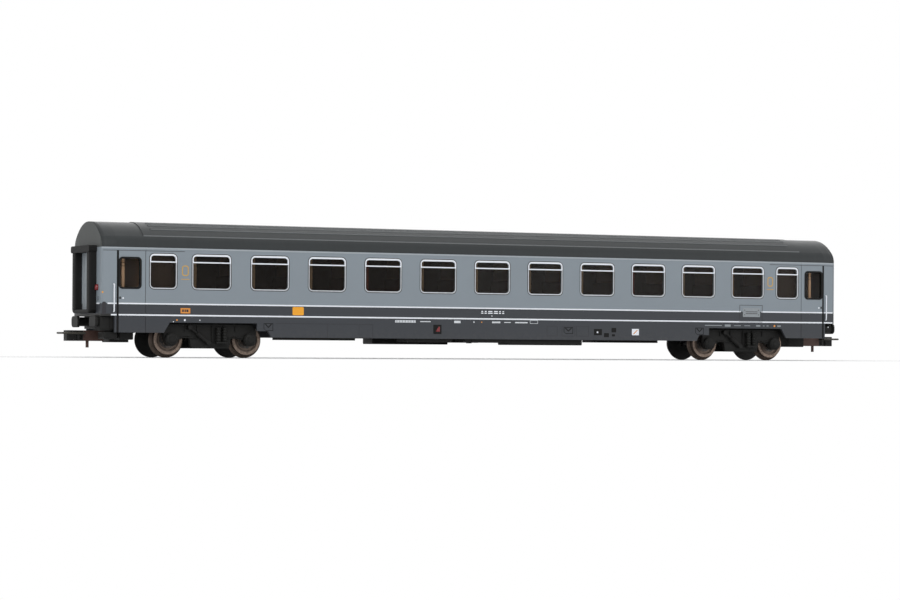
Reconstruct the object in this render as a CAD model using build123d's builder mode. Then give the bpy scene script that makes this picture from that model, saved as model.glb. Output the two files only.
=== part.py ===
from build123d import *
from math import asin, degrees, sin, cos, radians
import os

# A scale model of a bogie passenger coach, 1:87, in millimetres.
# +X runs along the coach and -Y is the side seen first. The front end is at -X.
# Z is up from the floor that the wheel flanges stand on. Sizes named height are above the rail.

os.makedirs("parts", exist_ok=True)

# Wheels and axles
tread_diameter = 10.6
flange_height = 1.1
flange_tip = 0.4
flange_root = 0.8
wheel_width = 2.8
back_to_back = 14.4
tyre_depth = 1.1
dish_depth = 0.5
hub_diameter = 3.8
axle_diameter = 2.0
axle_cone = 0.8
axle_end_gap = 0.2
bearing_clearance = 0.05
bearing_depth = 1.1

rail_z = flange_height
axle_z = rail_z + tread_diameter / 2

# Body shell
body_length = 300.2
body_width = 32.4
end_narrowing = 1.0
taper_length = 5.2
wall = 1.1
eave_height = 37.2
skirt_height = 6.25
end_skirt_height = 7.6
raised_skirt_height = 8.5
bogie_cut_height = 11.2
floor_height = 12.6
corner_cut_height = 13.3
corner_cut_length = 4.6
overrun = 2.0
fit_clearance = 0.04

end_x = body_length / 2
side_y = body_width / 2
end_y = side_y - end_narrowing
door_gap_x = end_x - taper_length
eave_z = rail_z + eave_height
skirt_z = rail_z + skirt_height
end_skirt_z = rail_z + end_skirt_height
cut_z = rail_z + bogie_cut_height
floor_low_z = rail_z + floor_height

# Bogie places, and the skirt's cut round each bogie, measured from the pivot
pivot_overhang = 40.9
wheelbase = 29.4
cut_inner = 16.4
cut_outer = 16.2
cut_slant = 2.2
raised_skirt_length = 4.2
raised_skirt_slant = 1.3

pivot_x = end_x - pivot_overhang

# Door joints in the side
door_gap_width = 0.8
door_gap_depth = 0.4
door_gap_top_height = 36.0
vestibule_length = 10.5
panel_line_width = 0.2
panel_line_depth = 0.15

panel_line_x = door_gap_x - vestibule_length

# Roof, with its lifted middle and ribs as shares of the crown arc's half angle
crown_rise = 9.3
shoulder_radius = 5.2
roof_lift = 0.2
lift_overlap = 0.2
rib_width = 0.5
rib_rise = 0.26
rib_end_gap = 3.6
rib_shares = (0.355, 0.513, 0.709)
lift_share = 0.98

crown_z = eave_z + crown_rise
lifted_x = panel_line_x + lift_overlap

# Windows. Each framed window: place along the coach, outer width of its frame
window_count = 11
frame_width = 14.4
frame_height = 12.2
frame_bottom_height = 22.9
frame_corner = 1.6
small_window_inset = 6.5
small_window_spacing = 17.9
small_frame_width = 9.95
pane_margin_side = 0.32
pane_margin_top = 0.62
pane_margin_bottom = 0.36
pane_corner = 1.3
pane_recess = 0.25
transom_rise = 9.2
transom_width = 0.42
glazing_thickness = 0.8
glazing_margin = 0.9

small_window_x = panel_line_x - small_window_inset
window_pitch = 2 * (small_window_x - small_window_spacing) / (window_count - 1)
frame_z = rail_z + frame_bottom_height + frame_height / 2
transom_z = rail_z + frame_bottom_height + transom_rise + transom_width / 2
pane_height = frame_height - pane_margin_top - pane_margin_bottom
pane_z = rail_z + frame_bottom_height + pane_margin_bottom + pane_height / 2
framed_windows = [
    ((i - (window_count - 1) / 2) * window_pitch, frame_width) for i in range(window_count)
] + [(-small_window_x, small_frame_width), (small_window_x, small_frame_width)]

# Door windows
door_window_inset = 4.85
door_window_width = 8.1
door_window_height = 10.85
door_window_bottom_height = 22.85
door_window_corner = 1.3
door_seal_width = 0.5

door_window_x = door_gap_x - door_window_inset
door_window_z = rail_z + door_window_bottom_height + door_window_height / 2

# Handrails
rail_inset = 4.25
rail_wire = 0.45
rail_low_height = 14.8
rail_high_height = 24.35
rail_standoff = 0.5
rail_root = 0.7
rail_bend = 0.35

rail_x = end_x - rail_inset

# Gangways and end doors
gangway_width = 19.4
gangway_roll = 3.1
gangway_reach = 2.7
gangway_low_height = 14.3
gangway_rise = 0.7
gangway_corner = 1.6
gangway_round = 0.6
hood_width = 20.6
hood_drop = 2.4
hood_reach = 3.0
hood_corner = 0.9
sill_drop = 1.3
end_door_width = 13.2
end_door_low_height = 15.6
end_door_high_height = 35.4
end_door_thickness = 0.8
end_door_recess = 0.25

# Tail lamps
lamp_spacing = 1.3
lamp_height = 23.2
lamp_radius = 0.8
lamp_reach = 0.5
lamp_root = 0.6

lamp_y = gangway_width / 2 + lamp_spacing

# Floor, centre sill and buffer beams
floor_thickness = 1.5
floor_clearance = 0.1
sill_width = 10.0
sill_height = 9.6
sill_end_gap = 34.2
pad_radius = 4.0
pad_height = 1.0
beam_setback = 3.5
beam_thickness = 2.4
beam_end_gap = 0.7
beam_low_height = 8.9

floor_z = floor_low_z + floor_thickness
beam_face_x = end_x - beam_setback

# Boxes under the floor beside the skirt: from and to as shares of the way from the middle to a bogie,
# and a share of the deepest box
box_sill_gap = 1.0
box_side_gap = 1.6
box_depth = 8.4
box_chamfer = 0.4
underfloor_box_shares = (
    (-0.759, -0.497, 0.857),
    (-0.311, -0.142, 0.905),
    (-0.094, 0.067, 0.893),
    (0.069, 0.352, 1.0),
)

box_inner_y = sill_width / 2 + box_sill_gap
box_outer_y = side_y - box_side_gap

# Weight, floor tray, partitions and seats
weight_end_gap = 9.2
weight_side_gap = 1.1
weight_thickness = 1.0
tray_thickness = 1.0
tray_end_gap = 3.1
tray_side_gap = 2.1
partition_thickness = 0.8
partition_drop = 2.2
corridor_width = 9.5
seat_depth = 4.6
seat_height = 4.2
seat_back_height = 12.0
seat_back_thickness = 1.5
seat_gap = 0.3

weight_top_z = floor_z + weight_thickness
tray_top_z = weight_top_z + tray_thickness
tray_y = side_y - tray_side_gap
partition_top_z = eave_z - partition_drop
corridor_y = tray_y - corridor_width

# Buffers
buffer_length = 5.1
buffer_y = 10.06
buffer_height = 11.4
buffer_width = 7.4
buffer_depth = 4.0
buffer_corner = 1.4
buffer_thickness = 0.9
buffer_edge = 0.35
sleeve_width = 6.2
sleeve_depth = 3.2
sleeve_corner = 1.1

buffer_face_x = beam_face_x + buffer_length
buffer_z = rail_z + buffer_height

# Couplers, with the pin that each swings on
coupler_pin_inset = 10.5
coupler_pin_radius = 0.9
pin_clearance = 0.06
mount_inner_length = 3.2
mount_outer_length = 3.8
mount_wall = 1.0
mount_width = 8.0
mount_low_height = 4.2
shank_low_height = 5.6
shank_thickness = 2.4
shank_width = 3.2
shank_gap = 0.15
shank_length = 5.2
hook_length = 9.6
hook_low_height = 4.6
hook_high_height = 8.3
hook_width = 3.4
head_length = 3.8
head_width = 4.6
head_chamfer = 0.5
trip_offset = 5.4
trip_radius = 0.55
trip_low_height = 2.3
bow_pivot_inset = 1.8
bow_pin_radius = 0.45
bow_wire = 0.7
bow_overhang = 1.8
bow_width = 9.0
bow_bend = 1.6
bow_gap = 0.25

coupler_pin_x = end_x - coupler_pin_inset
mount_inner_x = coupler_pin_x - mount_inner_length
mount_outer_x = coupler_pin_x + mount_outer_length
hook_from_x = coupler_pin_x + shank_length
hook_to_x = hook_from_x + hook_length
head_to_x = hook_to_x + head_length
trip_x = hook_from_x + trip_offset
bow_pivot_x = hook_to_x - bow_pivot_inset
bow_reach_x = head_to_x + bow_overhang
mount_z = rail_z + mount_low_height
shank_z = rail_z + shank_low_height
hook_z = rail_z + hook_low_height
hook_top_z = rail_z + hook_high_height

# Bogies, with places measured from the pivot
frame_wheel_gap = 1.2
frame_thickness = 1.7
frame_top_height = 10.8
frame_shoulder_height = 8.4
frame_arm_height = 5.3
frame_belly_height = 2.2
frame_half_length = 17.3
frame_shoulder = 1.1
arm_inner_x = 10.9
arm_haunch = 2.0
belly_half = 7.0
belly_slant = 1.9
axle_box_radius = 2.3
axle_box_reach = 1.3
bolster_half = 4.4
bolster_low_height = 8.2
pin_radius = 1.5
pin_head_radius = 2.6
pin_head_thickness = 0.7
pin_gap = 0.2
pin_root = 0.6

wheel_face_y = back_to_back / 2 + wheel_width
frame_inner_y = wheel_face_y + frame_wheel_gap
frame_outer_y = frame_inner_y + frame_thickness
frame_top_z = rail_z + frame_top_height
bolster_top_z = floor_low_z - pad_height
bolster_low_z = rail_z + bolster_low_height

# Springs and dampers on the bogie's sides
spring_pair_x = 3.9
spring_spacing = 2.4
spring_radius = 1.0
spring_groove = 0.25
spring_turns = 5
spring_low_height = 4.6
spring_length = 5.0
spring_shelf = 0.6
damper_top_x = 8.0
damper_foot_x = 1.0
damper_top_height = 9.6
damper_foot_height = 4.3
damper_radius = 0.75
damper_rod_radius = 0.4
damper_rod_share = 0.4
damper_eye_radius = 0.8
damper_gap = 0.15

# Brake hangers between the wheels
hanger_width = 1.2
hanger_depth = 1.6
shoe_thickness = 1.2

hanger_y = (back_to_back + wheel_width) / 2


def side_plane(side, y):
    # Elevation of one side, looking at it from outside, with x turned round on the far side.
    return Plane(origin=(0, side * y, 0), x_dir=(-side, 0, 0), z_dir=(0, side, 0))


def end_plane(end, x):
    # Elevation of one end, looking at it from outside.
    return Plane(origin=(end * x, 0, 0), x_dir=(0, end, 0), z_dir=(end, 0, 0))


def save(piece, name):
    piece.part.label = name
    export_step(piece.part, f"parts/{name}.step")


def plan_outline(inset):
    # The coach from above, its sides drawn in towards flat ends.
    corner_x = end_x - inset
    corner_y = end_y - inset
    flank_y = side_y - inset
    with BuildSketch() as outline:
        with BuildLine():
            Polyline(
                (corner_x, corner_y), (door_gap_x, flank_y), (-door_gap_x, flank_y),
                (-corner_x, corner_y), (-corner_x, -corner_y), (-door_gap_x, -flank_y),
                (door_gap_x, -flank_y), (corner_x, -corner_y), close=True,
            )
        make_face()
    return outline.sketch


def crown_arc(half_width, top_z, shoulder):
    # Radius and half angle of the crown arc, which runs smoothly into shoulder arcs that leave the
    # sides upright at the eaves.
    shoulder_y = half_width - shoulder
    rise = top_z - eave_z
    radius = (shoulder_y**2 + rise**2 - shoulder**2) / (2 * (rise - shoulder))
    return radius, degrees(asin(shoulder_y / (radius - shoulder)))


def roof_section(half_width, top_z, shoulder):
    # A wide crown arc between two shoulder arcs.
    radius, lean = crown_arc(half_width, top_z, shoulder)
    shoulder_y = half_width - shoulder
    with BuildSketch() as section:
        with BuildLine():
            CenterArc((shoulder_y, eave_z), shoulder, 0, 90 - lean)
            CenterArc((0, top_z - radius), radius, 90 - lean, 2 * lean)
            CenterArc((-shoulder_y, eave_z), shoulder, 90 + lean, 90 - lean)
            Line((-half_width, eave_z), (half_width, eave_z))
        make_face()
    return section.sketch


def make_shell():
    # The whole moulding, which is then parted at its door gaps into sides and ends.
    with BuildPart() as shell:
        with BuildSketch(Plane.XY.offset(skirt_z)):
            add(plan_outline(0))
            add(plan_outline(wall), mode=Mode.SUBTRACT)
        extrude(amount=eave_height - skirt_height)
        # The skirt rises round the bogies and at the ends, and the low corners make room for buffers.
        low_z = skirt_z - overrun
        with BuildSketch(Plane.XZ):
            with BuildLine():
                raised_to = pivot_x - cut_inner
                raised_from = raised_to - raised_skirt_length
                Polyline(
                    (raised_from - raised_skirt_slant, low_z),
                    (raised_from - raised_skirt_slant, skirt_z),
                    (raised_from, rail_z + raised_skirt_height),
                    (raised_to, rail_z + raised_skirt_height),
                    (raised_to, cut_z),
                    (pivot_x + cut_outer, cut_z),
                    (pivot_x + cut_outer + cut_slant, end_skirt_z),
                    (end_x - corner_cut_length, end_skirt_z),
                    (end_x - corner_cut_length, rail_z + corner_cut_height),
                    (end_x + overrun, rail_z + corner_cut_height),
                    (end_x + overrun, low_z),
                    close=True,
                )
            make_face()
            mirror(about=Plane.YZ)
        extrude(amount=body_width, both=True, mode=Mode.SUBTRACT)
        # Window openings through both sides
        with BuildSketch(Plane.XZ):
            for x, width in framed_windows:
                with Locations((x, frame_z)):
                    RectangleRounded(width, frame_height, frame_corner)
            with Locations((-door_window_x, door_window_z), (door_window_x, door_window_z)):
                RectangleRounded(door_window_width, door_window_height, door_window_corner)
        extrude(amount=body_width, both=True, mode=Mode.SUBTRACT)
        # End doorways
        door_height = end_door_high_height - end_door_low_height
        with BuildSketch(Plane.YZ):
            with Locations((0, rail_z + end_door_low_height + door_height / 2)):
                Rectangle(end_door_width, door_height)
        extrude(amount=body_length, both=True, mode=Mode.SUBTRACT)
        # Door gaps and panel lines, cut a little way into both sides
        for side in (-1, 1):
            for line_x, line_width, depth, top in (
                (door_gap_x - door_gap_width / 2, door_gap_width, door_gap_depth,
                 rail_z + door_gap_top_height),
                (panel_line_x, panel_line_width, panel_line_depth, eave_z),
            ):
                height = top - end_skirt_z
                with BuildSketch(side_plane(side, side_y - depth)):
                    with Locations((-line_x, end_skirt_z + height / 2), (line_x, end_skirt_z + height / 2)):
                        Rectangle(line_width, height)
                extrude(amount=overrun, mode=Mode.SUBTRACT)
        # Holes that the handrails are pushed into
        with BuildSketch(Plane.XZ):
            with Locations(
                (-rail_x, rail_z + rail_low_height), (rail_x, rail_z + rail_low_height),
                (-rail_x, rail_z + rail_high_height), (rail_x, rail_z + rail_high_height),
            ):
                Circle(rail_wire / 2 + fit_clearance)
        extrude(amount=body_width, both=True, mode=Mode.SUBTRACT)
        # Sockets of the tail lamps
        with BuildSketch(Plane.YZ):
            with Locations((-lamp_y, rail_z + lamp_height), (lamp_y, rail_z + lamp_height)):
                Circle(lamp_radius + fit_clearance)
        extrude(amount=body_length, both=True, mode=Mode.SUBTRACT)
    return shell


def make_side_wall(shell, side):
    with BuildPart() as side_wall:
        add(shell.part)
        split(bisect_by=side_plane(side, 0), keep=Keep.TOP)
        for end in (-1, 1):
            split(bisect_by=end_plane(end, door_gap_x), keep=Keep.BOTTOM)
        split(bisect_by=Plane.XY.offset(cut_z), keep=Keep.TOP)
    return side_wall


def make_skirts(shell, side):
    # What hangs under the side wall: the long skirt between the bogies and a short one at each door
    with BuildPart() as skirts:
        add(shell.part)
        split(bisect_by=side_plane(side, 0), keep=Keep.TOP)
        for end in (-1, 1):
            split(bisect_by=end_plane(end, door_gap_x), keep=Keep.BOTTOM)
        split(bisect_by=Plane.XY.offset(cut_z), keep=Keep.BOTTOM)
    return skirts


def make_end_section(shell, end):
    with BuildPart() as end_section:
        add(shell.part)
        split(bisect_by=end_plane(end, door_gap_x), keep=Keep.TOP)
    return end_section


def make_roof():
    radius, lean = crown_arc(side_y, crown_z, shoulder_radius)
    centre_z = crown_z - radius
    lifted_radius = radius + roof_lift
    lifted_lean = lean * lift_share
    with BuildPart() as roof:
        with BuildSketch(Plane.YZ):
            add(roof_section(side_y, crown_z, shoulder_radius))
        extrude(amount=door_gap_x, both=True)
        for end in (-1, 1):
            with BuildSketch(Plane.YZ.offset(end * door_gap_x)):
                add(roof_section(side_y, crown_z, shoulder_radius))
            with BuildSketch(Plane.YZ.offset(end * end_x)):
                add(roof_section(end_y, crown_z, shoulder_radius))
            loft(ruled=True)
        # Lifted middle, from a step on one side to a step on the other, with its long ribs
        with BuildSketch(Plane.YZ):
            with BuildLine():
                skin = CenterArc((0, centre_z), lifted_radius, 90 - lifted_lean, 2 * lifted_lean)
                root = CenterArc((0, centre_z), radius - wall / 2, 90 - lifted_lean, 2 * lifted_lean)
                Line(skin @ 0, root @ 0)
                Line(skin @ 1, root @ 1)
            make_face()
        extrude(amount=lifted_x, both=True)
        for share in rib_shares:
            for turn in (-lean * share, lean * share):
                y = lifted_radius * sin(radians(turn))
                z = centre_z + lifted_radius * cos(radians(turn))
                with Locations(Location((0, y, z), (-turn, 0, 0))):
                    Box(2 * (lifted_x - rib_end_gap), rib_width, 2 * rib_rise)
        # Hollow inside
        inner_shoulder = shoulder_radius - wall
        with BuildSketch(Plane.YZ):
            add(roof_section(side_y - wall, crown_z - wall, inner_shoulder))
        extrude(amount=door_gap_x, both=True, mode=Mode.SUBTRACT)
        for end in (-1, 1):
            with BuildSketch(Plane.YZ.offset(end * door_gap_x)):
                add(roof_section(side_y - wall, crown_z - wall, inner_shoulder))
            with BuildSketch(Plane.YZ.offset(end * (end_x - wall))):
                add(roof_section(end_y - wall, crown_z - wall, inner_shoulder))
            loft(ruled=True, mode=Mode.SUBTRACT)
    return roof


def make_glazing(side):
    # One clear moulding along a side, with a pane that stands into each window.
    inner_y = side_y - wall
    with BuildPart() as glazing:
        strip_length = 2 * (door_window_x + door_window_width / 2 + glazing_margin / 2)
        strip_height = frame_height + 2 * glazing_margin
        with BuildSketch(side_plane(side, inner_y - glazing_thickness)):
            with Locations((0, frame_z)):
                Rectangle(strip_length, strip_height)
        extrude(amount=glazing_thickness)
        with BuildSketch(side_plane(side, inner_y)):
            for x, width in framed_windows:
                with Locations((x, pane_z)):
                    RectangleRounded(
                        width - 2 * (pane_margin_side + fit_clearance),
                        pane_height - 2 * fit_clearance, pane_corner,
                    )
            with Locations((-door_window_x, door_window_z), (door_window_x, door_window_z)):
                RectangleRounded(
                    door_window_width - 2 * (door_seal_width + fit_clearance),
                    door_window_height - 2 * (door_seal_width + fit_clearance),
                    door_window_corner - door_seal_width,
                )
        extrude(amount=wall - pane_recess)
    return glazing


def make_window_frames(side):
    with BuildPart() as frames:
        with BuildSketch(side_plane(side, side_y - wall)):
            for x, width in framed_windows:
                with Locations((x, frame_z)):
                    RectangleRounded(
                        width - 2 * fit_clearance, frame_height - 2 * fit_clearance,
                        frame_corner - fit_clearance,
                    )
                with Locations((x, pane_z)):
                    RectangleRounded(
                        width - 2 * pane_margin_side, pane_height, pane_corner, mode=Mode.SUBTRACT,
                    )
        extrude(amount=wall)
        transom_thickness = pane_recess - fit_clearance
        with BuildSketch(side_plane(side, side_y - transom_thickness)):
            for x, width in framed_windows:
                with Locations((x, transom_z)):
                    Rectangle(width - 2 * pane_margin_side, transom_width)
        extrude(amount=transom_thickness)
    return frames


def make_door_seals():
    with BuildPart() as seals:
        for side in (-1, 1):
            with BuildSketch(side_plane(side, side_y - wall)):
                for x in (-door_window_x, door_window_x):
                    with Locations((x, door_window_z)):
                        RectangleRounded(
                            door_window_width - 2 * fit_clearance,
                            door_window_height - 2 * fit_clearance,
                            door_window_corner - fit_clearance,
                        )
                        RectangleRounded(
                            door_window_width - 2 * door_seal_width,
                            door_window_height - 2 * door_seal_width,
                            door_window_corner - door_seal_width + fit_clearance,
                            mode=Mode.SUBTRACT,
                        )
            extrude(amount=wall)
    return seals


def make_handrails():
    # Bent wires whose ends are pushed into the body's corners.
    low_z = rail_z + rail_low_height
    high_z = rail_z + rail_high_height
    taper_share = (rail_x - door_gap_x) / taper_length
    face_y = side_y - taper_share * (side_y - end_y)
    outer_y = face_y + rail_standoff
    with BuildPart() as handrails:
        for side in (-1, 1):
            for x in (-rail_x, rail_x):
                root = (x, side * (face_y - rail_root), low_z)
                with BuildLine() as path:
                    FilletPolyline(
                        root, (x, side * outer_y, low_z), (x, side * outer_y, high_z),
                        (x, side * (face_y - rail_root), high_z), radius=rail_bend,
                    )
                with BuildSketch(Plane(origin=root, z_dir=(0, side, 0))):
                    Circle(rail_wire / 2)
                sweep(path=path.wires()[0])
    return handrails


def make_gangway(end):
    # Rubber rolls up both sides of the end door, a sill and a hood over them.
    low_z = rail_z + gangway_low_height
    high_z = eave_z + gangway_rise
    with BuildPart() as gangway:
        with BuildSketch(end_plane(end, end_x)):
            with Locations((0, (low_z + high_z) / 2)):
                RectangleRounded(gangway_width, high_z - low_z, gangway_corner)
            with Locations((0, (low_z + sill_drop + high_z - hood_drop) / 2)):
                Rectangle(
                    gangway_width - 2 * gangway_roll, high_z - low_z - hood_drop - sill_drop,
                    mode=Mode.SUBTRACT,
                )
        extrude(amount=gangway_reach)
        face = gangway.faces().sort_by(Axis.X)[-1 if end > 0 else 0]
        fillet(face.edges(), gangway_round)
        with BuildSketch(end_plane(end, end_x)):
            with Locations((0, high_z - hood_drop / 2)):
                RectangleRounded(hood_width, hood_drop, hood_corner)
        extrude(amount=hood_reach)
    return gangway


def make_end_doors():
    height = end_door_high_height - end_door_low_height
    with BuildPart() as doors:
        for end in (-1, 1):
            with BuildSketch(end_plane(end, end_x - end_door_recess - end_door_thickness)):
                with Locations((0, rail_z + end_door_low_height + height / 2)):
                    Rectangle(end_door_width - 2 * fit_clearance, height - 2 * fit_clearance)
            extrude(amount=end_door_thickness)
    return doors


def make_tail_lamps():
    with BuildPart() as lamps:
        for end in (-1, 1):
            with BuildSketch(end_plane(end, end_x - lamp_root)):
                with Locations((-lamp_y, rail_z + lamp_height), (lamp_y, rail_z + lamp_height)):
                    Circle(lamp_radius)
            extrude(amount=lamp_root + lamp_reach)
        faces_out = lamps.faces().filter_by(Axis.X).group_by(Axis.X)
        chamfer((faces_out[0] + faces_out[-1]).edges(), lamp_reach / 2)
    return lamps


def make_underframe():
    with BuildPart() as underframe:
        with BuildSketch(Plane.XY.offset(floor_low_z)):
            add(plan_outline(wall + floor_clearance))
        extrude(amount=floor_thickness)
        # Room above the buffers, outside the beams
        room_depth = corner_cut_height - floor_height
        for end in (-1, 1):
            with Locations((end * (beam_face_x + end_x) / 2, 0, floor_low_z + room_depth / 2)):
                Box(end_x - beam_face_x, body_width, room_depth, mode=Mode.SUBTRACT)
        # Holes for the bogie pins
        with BuildSketch(Plane.XY.offset(floor_z)):
            with Locations((-pivot_x, 0), (pivot_x, 0)):
                Circle(pin_radius + pin_clearance)
        extrude(amount=-(floor_thickness + overrun), mode=Mode.SUBTRACT)
    return underframe


def make_centre_sill():
    depth = floor_height - sill_height
    with BuildPart() as sill:
        with Locations((0, 0, floor_low_z - depth / 2)):
            Box(2 * (pivot_x - sill_end_gap), sill_width, depth)
    return sill


def make_buffer_beams():
    depth = floor_height - beam_low_height
    with BuildPart() as beams:
        for end in (-1, 1):
            with Locations((end * (beam_face_x - beam_thickness / 2), 0, floor_low_z - depth / 2)):
                Box(beam_thickness, 2 * (end_y - beam_end_gap), depth)
    return beams


def make_underfloor_boxes():
    with BuildPart() as boxes:
        for side in (-1, 1):
            for from_share, to_share, depth_share in underfloor_box_shares:
                with Locations((
                    -side * pivot_x * (from_share + to_share) / 2,
                    side * (box_inner_y + box_outer_y) / 2,
                    floor_low_z - box_depth * depth_share / 2,
                )):
                    Box(
                        pivot_x * (to_share - from_share), box_outer_y - box_inner_y,
                        box_depth * depth_share,
                    )
        chamfer(boxes.edges().filter_by(Axis.X).group_by(Axis.Z)[0], box_chamfer)
    return boxes


def make_weight():
    with BuildPart() as weight:
        with Locations((0, 0, floor_z + weight_thickness / 2)):
            Box(2 * (pivot_x - weight_end_gap), 2 * (tray_y - weight_side_gap), weight_thickness)
    return weight


def make_floor_tray():
    with BuildPart() as tray:
        with Locations((0, 0, tray_top_z - tray_thickness / 2)):
            Box(2 * (end_x - tray_end_gap), 2 * tray_y, tray_thickness)
    return tray


def make_corridor_wall():
    height = partition_top_z - tray_top_z
    with BuildPart() as corridor_wall:
        with Locations((0, corridor_y, tray_top_z + height / 2)):
            Box(2 * panel_line_x - partition_thickness, partition_thickness, height)
    return corridor_wall


def make_partitions():
    # One on each side of every compartment, up to the corridor wall, and one across at each vestibule.
    height = partition_top_z - tray_top_z
    depth = corridor_y - partition_thickness / 2 + tray_y
    with BuildPart() as partitions:
        with Locations((0, -tray_y + depth / 2, tray_top_z + height / 2)):
            with GridLocations(window_pitch, 0, window_count + 1, 1):
                Box(partition_thickness, depth, height)
        with Locations((0, 0, tray_top_z + height / 2)):
            with GridLocations(2 * panel_line_x, 0, 2, 1):
                Box(partition_thickness, 2 * tray_y, height)
    return partitions


def make_seats():
    # Facing benches, one against each side of every partition.
    span = window_pitch - partition_thickness
    from_y = -tray_y + seat_gap
    to_y = corridor_y - partition_thickness / 2 - seat_gap
    with BuildPart() as seats:
        with BuildSketch(Plane.XZ.offset(-to_y)):
            for i in range(window_count):
                middle = (i - (window_count - 1) / 2) * window_pitch
                for facing in (-1, 1):
                    back_x = middle + facing * span / 2
                    with BuildLine():
                        Polyline(
                            (back_x, tray_top_z),
                            (back_x - facing * seat_depth, tray_top_z),
                            (back_x - facing * seat_depth, tray_top_z + seat_height),
                            (back_x - facing * seat_back_thickness, tray_top_z + seat_height),
                            (back_x - facing * seat_back_thickness, tray_top_z + seat_back_height),
                            (back_x, tray_top_z + seat_back_height),
                            close=True,
                        )
                    make_face()
        extrude(amount=to_y - from_y)
    return seats


def make_buffers(end):
    with BuildPart() as buffers:
        with BuildSketch(end_plane(end, beam_face_x)):
            with Locations((-buffer_y, buffer_z), (buffer_y, buffer_z)):
                RectangleRounded(sleeve_width, sleeve_depth, sleeve_corner)
        extrude(amount=buffer_face_x - beam_face_x - buffer_thickness)
        with BuildSketch(end_plane(end, buffer_face_x - buffer_thickness)):
            with Locations((-buffer_y, buffer_z), (buffer_y, buffer_z)):
                RectangleRounded(buffer_width, buffer_depth, buffer_corner)
        extrude(amount=buffer_thickness)
        faces_out = buffers.faces().filter_by(Axis.X).group_by(Axis.X)[-1 if end > 0 else 0]
        fillet(faces_out.edges(), buffer_edge)
    return buffers


def make_coupler_mount(end):
    # A box under the floor with a slot that the coupler's shank swings in, and its pin.
    depth = floor_low_z - mount_z
    length = mount_outer_x - mount_inner_x
    slot_height = shank_thickness + 2 * shank_gap
    with BuildPart() as mount:
        with Locations((end * (mount_inner_x + length / 2), 0, mount_z + depth / 2)):
            Box(length, mount_width, depth)
        with Locations((
            end * (mount_inner_x + mount_wall + length / 2), 0, shank_z + shank_thickness / 2,
        )):
            Box(length, mount_width + overrun, slot_height, mode=Mode.SUBTRACT)
        with BuildSketch(Plane.XY.offset(mount_z)):
            with Locations((end * coupler_pin_x, 0)):
                Circle(coupler_pin_radius)
        extrude(amount=depth)
    return mount


def make_coupler_hook(end):
    # Shank with its eye, and the long box of the hook with the trip pin below.
    with BuildPart() as hook:
        with BuildSketch(Plane.XY.offset(shank_z)):
            with BuildLine():
                Polyline(
                    (end * coupler_pin_x, -shank_width / 2), (end * hook_from_x, -shank_width / 2),
                    (end * hook_from_x, shank_width / 2), (end * coupler_pin_x, shank_width / 2),
                    close=True,
                )
            make_face()
            with Locations((end * coupler_pin_x, 0)):
                Circle(shank_width / 2)
                Circle(coupler_pin_radius + pin_clearance, mode=Mode.SUBTRACT)
        extrude(amount=shank_thickness)
        length = hook_to_x - hook_from_x
        height = hook_top_z - hook_z
        with Locations((end * (hook_from_x + length / 2), 0, hook_z + height / 2)):
            Box(length, hook_width, height)
        with BuildSketch(Plane.XY.offset(rail_z + trip_low_height)):
            with Locations((end * trip_x, 0)):
                Circle(trip_radius)
        extrude(amount=hook_low_height - trip_low_height)
        # Hole of the bow's pin
        with BuildSketch(Plane.XZ):
            with Locations((end * bow_pivot_x, hook_top_z - bow_wire - bow_gap)):
                Circle(bow_pin_radius + pin_clearance)
        extrude(amount=hook_width, both=True, mode=Mode.SUBTRACT)
    return hook


def make_coupler_head(end):
    length = head_to_x - hook_to_x
    height = hook_top_z - hook_z
    with BuildPart() as head:
        with Locations((end * (hook_to_x + length / 2), 0, hook_z + height / 2)):
            Box(length, head_width, height)
        chamfer(head.edges().filter_by(Axis.Z), head_chamfer)
    return head


def make_coupler_bow(end):
    # A wire loop round the head, on a cross pin through the hook.
    pivot_z = hook_top_z - bow_wire - bow_gap
    half = bow_width / 2
    root = (end * bow_pivot_x, -half, pivot_z)
    with BuildPart() as bow:
        with BuildLine() as path:
            FilletPolyline(
                root, (end * bow_reach_x, -half, pivot_z), (end * bow_reach_x, half, pivot_z),
                (end * bow_pivot_x, half, pivot_z), radius=bow_bend,
            )
        with BuildSketch(Plane(origin=root, z_dir=(end, 0, 0))):
            Circle(bow_wire / 2)
        sweep(path=path.wires()[0])
        with BuildSketch(Plane.XZ.offset(-half)):
            with Locations((end * bow_pivot_x, pivot_z)):
                Circle(bow_pin_radius)
        extrude(amount=bow_width)
    return bow


def make_bogie_pin(x):
    # The pin from the floor through the bolster, with a collar that the bogie turns against and a head
    # that holds the bogie up.
    head_top_z = bolster_low_z - pin_gap
    with BuildPart() as pin:
        with BuildSketch(Plane.XY.offset(head_top_z)):
            with Locations((x, 0)):
                Circle(pin_radius)
        extrude(amount=floor_low_z + pin_root - head_top_z)
        with BuildSketch(Plane.XY.offset(floor_low_z)):
            with Locations((x, 0)):
                Circle(pad_radius)
        extrude(amount=-pad_height)
        with BuildSketch(Plane.XY.offset(head_top_z)):
            with Locations((x, 0)):
                Circle(pin_head_radius)
        extrude(amount=-pin_head_thickness)
    return pin


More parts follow.
